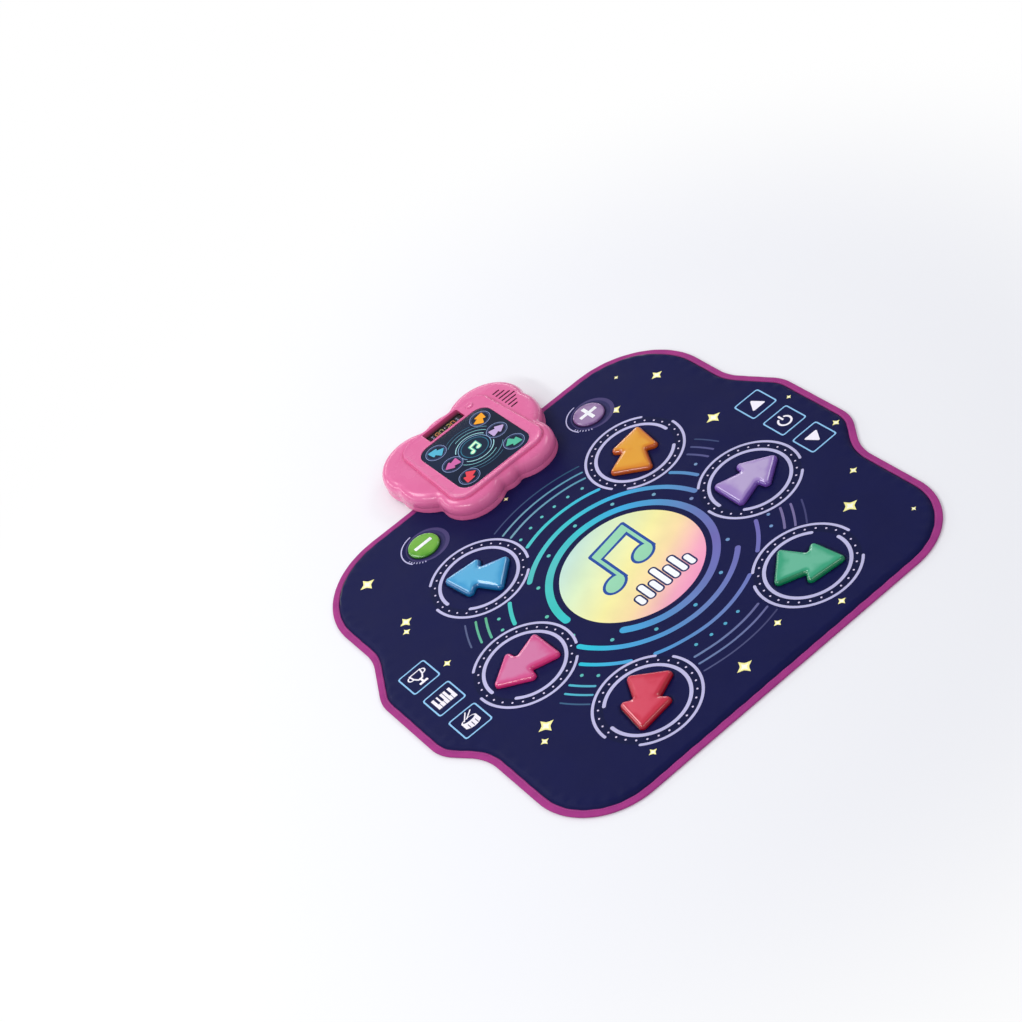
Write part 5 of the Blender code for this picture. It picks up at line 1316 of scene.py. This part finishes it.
# %% Console base
UNDERSIDE, MAT_SIDE, STEP_Y = 0.002, 0.0088, 0.469
RIM = PARTING - 0.0003
SHANK_HOLE, HEAD_HOLE = 0.0018, 0.0032
FEET = [(side * x, y) for side in (-1, 1) for x, y in ((0.104, 0.498), (0.075, 0.566))]
CELLS_Y, CELLS_HALF_X, CELLS_HALF_Y, CELLS_TOP = 0.523, 0.0283, 0.0235, 0.0196
DOOR_Y, DOOR_SCREW_Y = 0.52525, 0.5501


def underside_at(y):
    """Height of the base's lower face, which steps up over the mat."""
    return UNDERSIDE if y > STEP_Y else MAT_SIDE


def base_tray():
    """The hollow tray with its step over the mat."""
    outer = lower_edge(UNDERSIDE, 0.008, 5) + [(0.0, 0.012), (0.0002, 0.0155), (0.0006, RIM)]
    inner = [(0.0085, 0.0045), (0.004, 0.0065), (0.0024, 0.0105), (0.0028, PARTING + 0.001)]
    raised_floor = prism(box(0.0, 0.3712, 0.2, 0.100, 0.001, 0.1), -0.01, 0.0113)
    tray = combined(layered(cloud, outer), combined(layered(cloud, inner), raised_floor))
    return combined(tray, prism(box(0.0, STEP_Y - 0.100, 0.2, 0.100, 0.001, 0.1), -0.01, MAT_SIDE))


def base_posts():
    """The battery box, the clamp posts and the screw posts."""
    posts = [prism(box(0.0, CELLS_Y, CELLS_HALF_X + 0.0016, CELLS_HALF_Y + 0.0016, 0.001), 0.003,
                   CELLS_TOP + 0.0016)]
    posts += [prism(disc(x, CLAMP_Y, 0.0045), 0.0026, 0.0100) for x in CLAMP_XS]
    posts += [prism(disc(x, y, POST_RADIUS), underside_at(y) + 0.001, RIM) for x, y in HOUSING_SCREWS]
    return together(posts)


def base_cuts():
    """Room for the cells, the door's screw, the feet and all the screws."""
    cuts = [prism(box(0.0, CELLS_Y, CELLS_HALF_X, CELLS_HALF_Y, 0.0005), 0.003, CELLS_TOP),
            prism(disc(0.0, DOOR_SCREW_Y, 0.0025, 0.0012), 0.003, 0.0078)]
    cuts += [prism(disc(x, y, 0.0063, 0.002), 0.0, 0.0031) for x, y in FEET]
    cuts += [prism(disc(x, CLAMP_Y, SHANK_HOLE, 0.0012), 0.0, 0.0103) for x in CLAMP_XS]
    for x, y in HOUSING_SCREWS:
        low, high = underside_at(y), PARTING + 0.001
        profile = [(0.0, low - 0.001), (HEAD_HOLE, low - 0.001), (HEAD_HOLE, low + 0.0026),
                   (SHANK_HOLE, low + 0.0026), (SHANK_HOLE, high), (0.0, high)]
        cuts.append(turned(profile, x, y, 24))
    return together(cuts)


tray = combined(combined(base_tray(), base_posts(), "UNION"), base_cuts())
tray = combined(tray, prism(box(0.0, DOOR_Y, 0.0321, 0.02955, 0.0008), 0.0, 0.0042))
show("console_tray", tray, glossy_abs, replaced=["console_base"], smooth=28)

# %% [markdown]
# Printed artwork on a hard face is a film a few hundredths of a millimetre thick for each mark, and a later
# one lies a little higher. The ink on the console lets light through from behind, so it glows a little by
# itself.

# %% Printed films
HOT_SPOT_MM = 16.67


def print_film(name, films, material):
    """Lay coloured outlines on a flat face as thin solids that carry their ink; later ones lie higher."""
    bm = bmesh.new()
    ink = bm.loops.layers.float_color.new("ink")
    for outline, colour, low, high in films:
        before, paint = set(bm.faces), linear(colour)
        mesh = bpy.data.meshes.new("film")
        part = prism(outline, low, high)
        part.to_mesh(mesh)
        part.free()
        bm.from_mesh(mesh)
        bpy.data.meshes.remove(mesh)
        for face in bm.faces:
            if face not in before:
                for loop in face.loops:
                    loop[ink] = paint
    return show(name, bm, material)


def backlit_film(name, glow):
    """Translucent ink lit from behind: its own colour, a little light of its own, under gloss."""
    material, tree, shader, place = new_material(name, {"Roughness": 0.12, "Coat Weight": 0.6})
    ink = add_node(tree, "Attribute", attribute_name="ink")
    hot = add_node(tree, "TexNoise", {"Vector": place, "Scale": 1000 / HOT_SPOT_MM, "Detail": 1.0})
    glowing = add_node(tree, "MapRange", {"Value": hot, "From Min": 0.3, "From Max": 0.7,
                                          "To Min": 0.7 * glow, "To Max": glow})
    connect(tree, shader, {"Base Color": ink, "Emission Color": ink, "Emission Strength": glowing})
    return material

# %% [markdown]
# The light panel is smoked acrylic. Its artwork repeats the mat's in small: broken rings, the notes in the
# middle, and the six arrows in their rings, which show where to step next.

# %% Light panel
PANEL_TOP, LIGHT_X, LIGHT_PITCH = 0.0457, 0.048, 0.052
FILM = 0.00003
PANEL_RINGS = (
    (0.057, 0.0008, "#3C6C84", [(64, 118), (244, 296)]), (0.050, 0.0010, "#5E94A6", [(30, 128), (226, 322)]),
    (0.042, 0.0013, "#78B4B8", [(27, 110), (207, 300)]), (0.034, 0.0016, "#9CCFD2", [(28, 152), (212, 334)]),
    (0.0295, 0.0009, "#8FB8D8", [(-60, 208)]))
MINI_LOOKS = {"upper_left": "#4FA8C4", "left": "#C4619E", "lower_left": "#D8404E", "upper_right": "#EE9E22",
              "right": "#B8A0CC", "lower_right": "#4FB092"}


def panel_films():
    """Rings, six small arrows, and the bright middle with its notes."""
    films = []

    def lay(outline, colour, layer):
        films.append((outline, colour, PANEL_TOP - 0.0001, PANEL_TOP + FILM * (1 + layer)))

    for radius, stroke, colour, spans in PANEL_RINGS:
        for start, end in spans:
            lay(arc_band(0.0, PANEL_Y, radius, stroke, start, end, 0.002), colour, 0)
    for name, (x, y, heading) in PADS.items():
        place = (math.copysign(LIGHT_X, x), PANEL_Y + ((y > 0.1) - (y < -0.1)) * LIGHT_PITCH)
        lay(arc_band(*place, 0.0185, 0.0009, 0, 359.9, 0.002), "#8C9CC8", 1)
        lay(arc_band(*place, 0.0160, 0.0005, 0, 359.9, 0.002), "#5C6CA0", 1)
        lay(moved(arrow_outline(0.004), *place, heading, 0.26), "#0B1226", 2)
        lay(moved(arrow_outline(), *place, heading, 0.26), MINI_LOOKS[name], 3)
    lay(disc(0.0, PANEL_Y, 0.0252, 0.002), "#2C6C84", 1)
    lay(disc(0.0, PANEL_Y, 0.0236, 0.002), "#0C2038", 2)
    for grow, colour, first in ((0.09, "#5AB8A4", 3), (0.0, "#D4F0C4", 5)):
        shapes = beamed_notes(grow, (0.23, 0.175), 0.045, 0.24, 0.02, 20, (0.1, 0.1))
        for shape, layer in zip(shapes, (0, 0.5, 0, 0.5, 1)):
            lay(moved(shape, -0.001, PANEL_Y, 0, 0.0185), colour, first + layer)
    return films


smoked_acrylic = plain_plastic("smoked_acrylic", "#0A1830", "#10203E", 0.07, coat=0.6, cloud_mm=71.43)
plate = layered(panel, [(0.0, 0.0437)] + shoulder(PANEL_TOP, 0.0006, 0.0006, 4))
show("panel_plate", plate, smoked_acrylic, replaced=["light_panel"])
print_film("panel_print", panel_films(), backlit_film("backlit_film", 0.25))

# %% [markdown]
# A deep red liner narrows the display's window downwards, most of all at its back, so its walls catch the
# eye from the front. Its colour is painted shade of the recess: red at the rim, fading to nearly black lower
# down.

# %% Window liner
LINER_TOP, LINER_LOW, DISPLAY_Y = 0.0461, 0.04135, 0.5358


def recess_shade_plastic():
    """Plastic painted with the recess's shade: deep red at the top, nearly black towards its lower edge."""
    material, tree, shader, place = new_material("painted_recess_shade", {"Roughness": 0.35})
    height = add_node(tree, "SeparateXYZ", {0: place}).outputs["Z"]
    share = add_node(tree, "MapRange", {"Value": height, "From Min": 0.0416, "From Max": 0.0462})
    # Painted shade: nearly black low in the recess, deep red at its rim.
    tone = add_node(tree, "ValToRGB", {"Fac": share}, [(0.0, "#1E0714"), (1.0, "#B02A62")])
    connect(tree, shader, {"Base Color": tone})
    return material


wide = grown(window, -0.0006)
narrow = [Vector((0.955 * x, DISPLAY_Y + 0.70 * (y - WINDOW_Y))) for x, y in window]
funnel = stacked([at_height(narrow, 0.040), at_height(narrow, 0.0417), at_height(wide, 0.0460),
                  at_height(wide, ABOVE)])
recess_shade_liner = combined(prism(grown(window, -0.00015), LINER_LOW, LINER_TOP), funnel)
show("window_shade_liner", recess_shade_liner, recess_shade_plastic())

# %% [markdown]
# Under the smoked lens lies the score display: four seven-segment digits with a colon between them, and a
# small symbol at each end. The segments are slim hexagons that give a little light, so that they show
# through.

# %% Score display
DISPLAY_TOP = 0.0395
SEGMENT_HALF, SEGMENT_POINT, UNLIT = 0.0030, 0.00085, "#241C22"
SEGMENTS = {"a": (0, 0.0066, 0), "g": (0, 0.0, 0), "d": (0, -0.0066, 0), "f": (-0.0031, 0.0033, 90),
            "b": (0.0031, 0.0033, 90), "e": (-0.0031, -0.0033, 90), "c": (0.0031, -0.0033, 90)}
DIGITS = ((-0.0170, "abcdefg", "#E8B060"), (-0.0080, "abcdef", "#B8D080"), (0.0080, "abdeg", "#C8D070"),
          (0.0170, "abcdef", "#E8A850"))


def display_films():
    """Digits, colon and end symbols as films on the display's face."""
    half, point = SEGMENT_HALF, SEGMENT_POINT
    segment = [(-half, 0.0), (-half + point, -point), (half - point, -point), (half, 0.0),
               (half - point, point), (-half + point, point)]
    shapes = []
    for x, lit, colour in DIGITS:
        for letter, (dx, dy, heading) in SEGMENTS.items():
            bar = moved(segment, x + dx, DISPLAY_Y + dy, heading)
            shapes.append((bar, colour if letter in lit else UNLIT))
    for dy in (-0.0035, 0.0035):
        shapes.append((disc(0.0, DISPLAY_Y + dy, 0.0011, 0.0006), "#F4F6FF"))
    for x in (-0.0265, 0.0265):
        for dy in (-0.005, 0.0, 0.005):
            shapes.append((box(x, DISPLAY_Y + dy, 0.0019, 0.0013, 0.0005, 0.0006), "#9FB4C8"))
    return [(outline, colour, DISPLAY_TOP - 0.0001, DISPLAY_TOP + 0.0001) for outline, colour in shapes]


print_film("display_digits", display_films(), backlit_film("led_segment", 3.2))

# %% [markdown]
# The push button is a small turned cap with a flange below, of the same pink plastic as the console. Its
# top is dished very slightly, so a fingertip finds it.

# %% Push button
BUTTON_TOP, BUTTON_FLANGE = 0.0474, 0.0086
button_profile = [(0.0, 0.0352), (0.0025, 0.0352), (0.0025, 0.0402), (BUTTON_FLANGE, 0.0402),
                  (BUTTON_FLANGE, 0.0413), (BUTTON_RADIUS, 0.0413)]
button_profile += [(BUTTON_RADIUS - inset, z) for inset, z in shoulder(BUTTON_TOP, 0.0012, 0.0010, 5)]
button_profile += [(0.0046, BUTTON_TOP + 0.0001), (0.0036, BUTTON_TOP - 0.0002), (0.0, BUTTON_TOP - 0.0003)]
show("push_button_cap", turned(button_profile, BUTTON_X, BUTTON_Y), glossy_abs,
     body="push_button", replaced=["power_button"])

# %% [markdown]
# What lies inside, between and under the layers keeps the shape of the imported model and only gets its
# surface. The grain of each is that of its stuff, in millimetres: foam cells, film print, mould flow, paper
# fibres.

# %% Hidden pieces
HIDDEN_PIECES = {
    "open_cell_foam": (1.2, "#C9C6BE", "#E2DFD6", 0.95, 0.8, ["padding_foam", "spacer_foam"]),
    "carbon_printed_film": (20.0, "#3A3E48", "#5A606C", 0.25, 0.05,
                            ["lower_contact_film", "upper_contact_film", "film_tail"]),
    "black_abs": (2.0, "#141416", "#1E1E22", 0.45, 0.15, ["led_display", "clamp_plate", "power_switch"]),
    "treated_paper_cone": (0.8, "#17171A", "#26262B", 0.8, 0.4, ["speaker"]),
    "white_abs": (4.0, "#DEDEE0", "#EEEEF0", 0.4, 0.05, ["light_guide", "speaker_retainer"]),
    "green_solder_mask": (3.0, "#0F4A2C", "#1A6A40", 0.35, 0.2, ["main_pcb"]),
    "printed_cell_jacket": (6.0, "#20242C", "#39404C", 0.3, 0.05, [f"battery_cell_{k}" for k in (1, 2, 3)]),
    "pvc_lead": (2.0, "#A01C24", "#B82A30", 0.5, 0.1, ["battery_lead", "speaker_lead"]),
}


def worked(name, grain_mm, dark, light, roughness, relief, metallic=0.0):
    """A surface whose grain shows in its colour, its shine and its relief."""
    return grained(name, grain_mm, {"Metallic": metallic}, tones=[(0.3, dark), (0.7, light)], relief=relief,
                   shine=(0.3, 0.7, 0.8 * roughness, 1.2 * roughness), detail=4.0)


def dress(material, nodes):
    """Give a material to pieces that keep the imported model's shape."""
    for name in nodes:
        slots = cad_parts[name].data.materials
        slots.clear()
        slots.append(material)


for name, (*look, nodes) in HIDDEN_PIECES.items():
    dress(worked(name, *look), nodes)
print("materials for hidden pieces:", len(HIDDEN_PIECES))

# %% [markdown]
# The window over the display is smoked clear plastic: dark, with a sharp gloss, and the lit digits show
# through it. Its roughness is close to nothing and wanders like a wiped surface.

# %% Display lens
smoked_lens = grained("smoked_clear_lens", 5.0, {"Base Color": linear("#8C7E86"), "Transmission Weight": 1.0,
                                                 "IOR": 1.49}, shine=(0.0, 1.0, 0.01, 0.05))
dress(smoked_lens, ["display_window"])
print("lens:", smoked_lens.name)

# %% [markdown]
# The battery door closes the box from below. It has a rounded lower edge, a stepped hole for its screw, and
# five grooves where a thumb pushes it.

# %% Battery door
DOOR_LOW, DOOR_HIGH = 0.0021, 0.0039


def battery_door():
    """A flat door with a rounded lower edge, a hole for its screw and five grip grooves."""
    door = layered(box(0.0, DOOR_Y, 0.0318, 0.02925, 0.0015, 0.002),
                   lower_edge(DOOR_LOW, 0.0006, 4) + [(0.0, DOOR_HIGH)])
    hole = [(0.0, 0.0010), (HEAD_HOLE, 0.0010), (HEAD_HOLE, 0.0036), (SHANK_HOLE, 0.0036),
            (SHANK_HOLE, 0.0050), (0.0, 0.0050)]
    grooves = [prism(box(0.0, 0.5320 + 0.0022 * k, 0.0090, 0.0006, 0.0005, 0.001), 0.0010, 0.0026)
               for k in range(5)]
    return combined(door, together([turned(hole, 0.0, DOOR_SCREW_Y, 24)] + grooves))


show("door_plate", battery_door(), glossy_abs, body="battery_hatch",
     replaced=["battery_door"])

# %% [markdown]
# The screws are zinc-plated steel with a cross recess, driven upwards from below. A head is a low turned
# dome, and two thin boxes cut the cross into it.

# %% Screws
HEAD_RADIUS, SHANK_RADIUS, CROSS_HALF = 0.0029, 0.0015, 0.0016


def cross_screw(x, y, low, tip, head=0.0014):
    """A screw with its head below and its shank above."""
    profile = [(0.0, low), (0.0020, low), (0.0026, low + 0.2 * head), (HEAD_RADIUS, low + 0.5 * head),
               (HEAD_RADIUS, low + head), (SHANK_RADIUS, low + head), (SHANK_RADIUS, tip - 0.0015),
               (0.0005, tip), (0.0, tip)]
    screw = turned(profile, x, y, 24)
    for half_x, half_y in ((CROSS_HALF, 0.0004), (0.0004, CROSS_HALF)):
        screw = combined(screw, prism(box(x, y, half_x, half_y, 0.0001), low - 0.001, low + 0.5 * head))
    return screw


steel = worked("zinc_plated_steel", 1.5, "#A8AAB0", "#C6C8CE", 0.32, 0.1, metallic=1.0)
screws = [(f"clamp_screw_{k + 1}", x, CLAMP_Y, 0.00015, 0.0100) for k, x in enumerate(CLAMP_XS)]
screws += [(f"housing_screw_{k + 1}", x, y, underside_at(y) + 0.0009, 0.0267)
           for k, (x, y) in enumerate(HOUSING_SCREWS)]
for name, *place in screws:
    show(f"{name}_cross", cross_screw(*place), steel, replaced=[name])
show("door_screw_cross", cross_screw(0.0, DOOR_SCREW_Y, 0.0024, 0.0072, 0.0009), steel,
     body="battery_hatch", replaced=["battery_door_screw"])
dress(steel, ["battery_contact_left", "battery_contact_right", "retainer_screw_1", "retainer_screw_2"]
      + [f"board_screw_{k}" for k in (1, 2, 3, 4)])

# %% [markdown]
# Four rubber feet with a soft lower edge carry the console behind the mat.

# %% Rubber feet
FOOT_RADIUS, FOOT_TOP = 0.0060, 0.0028
foot_rubber = worked("foot_rubber", 0.9, "#1A1A1C", "#2A2A2E", 0.85, 0.4)
foot_profile = [(0.0, 0.0), (0.0052, 0.0), (0.0058, 0.0002), (FOOT_RADIUS, 0.0008), (FOOT_RADIUS, FOOT_TOP),
                (0.0, FOOT_TOP)]
for k, (x, y) in enumerate(FEET):
    show(f"foot_pad_{k + 1}", turned(foot_profile, x, y, 40), foot_rubber,
         replaced=[f"rubber_foot_{k + 1}"])
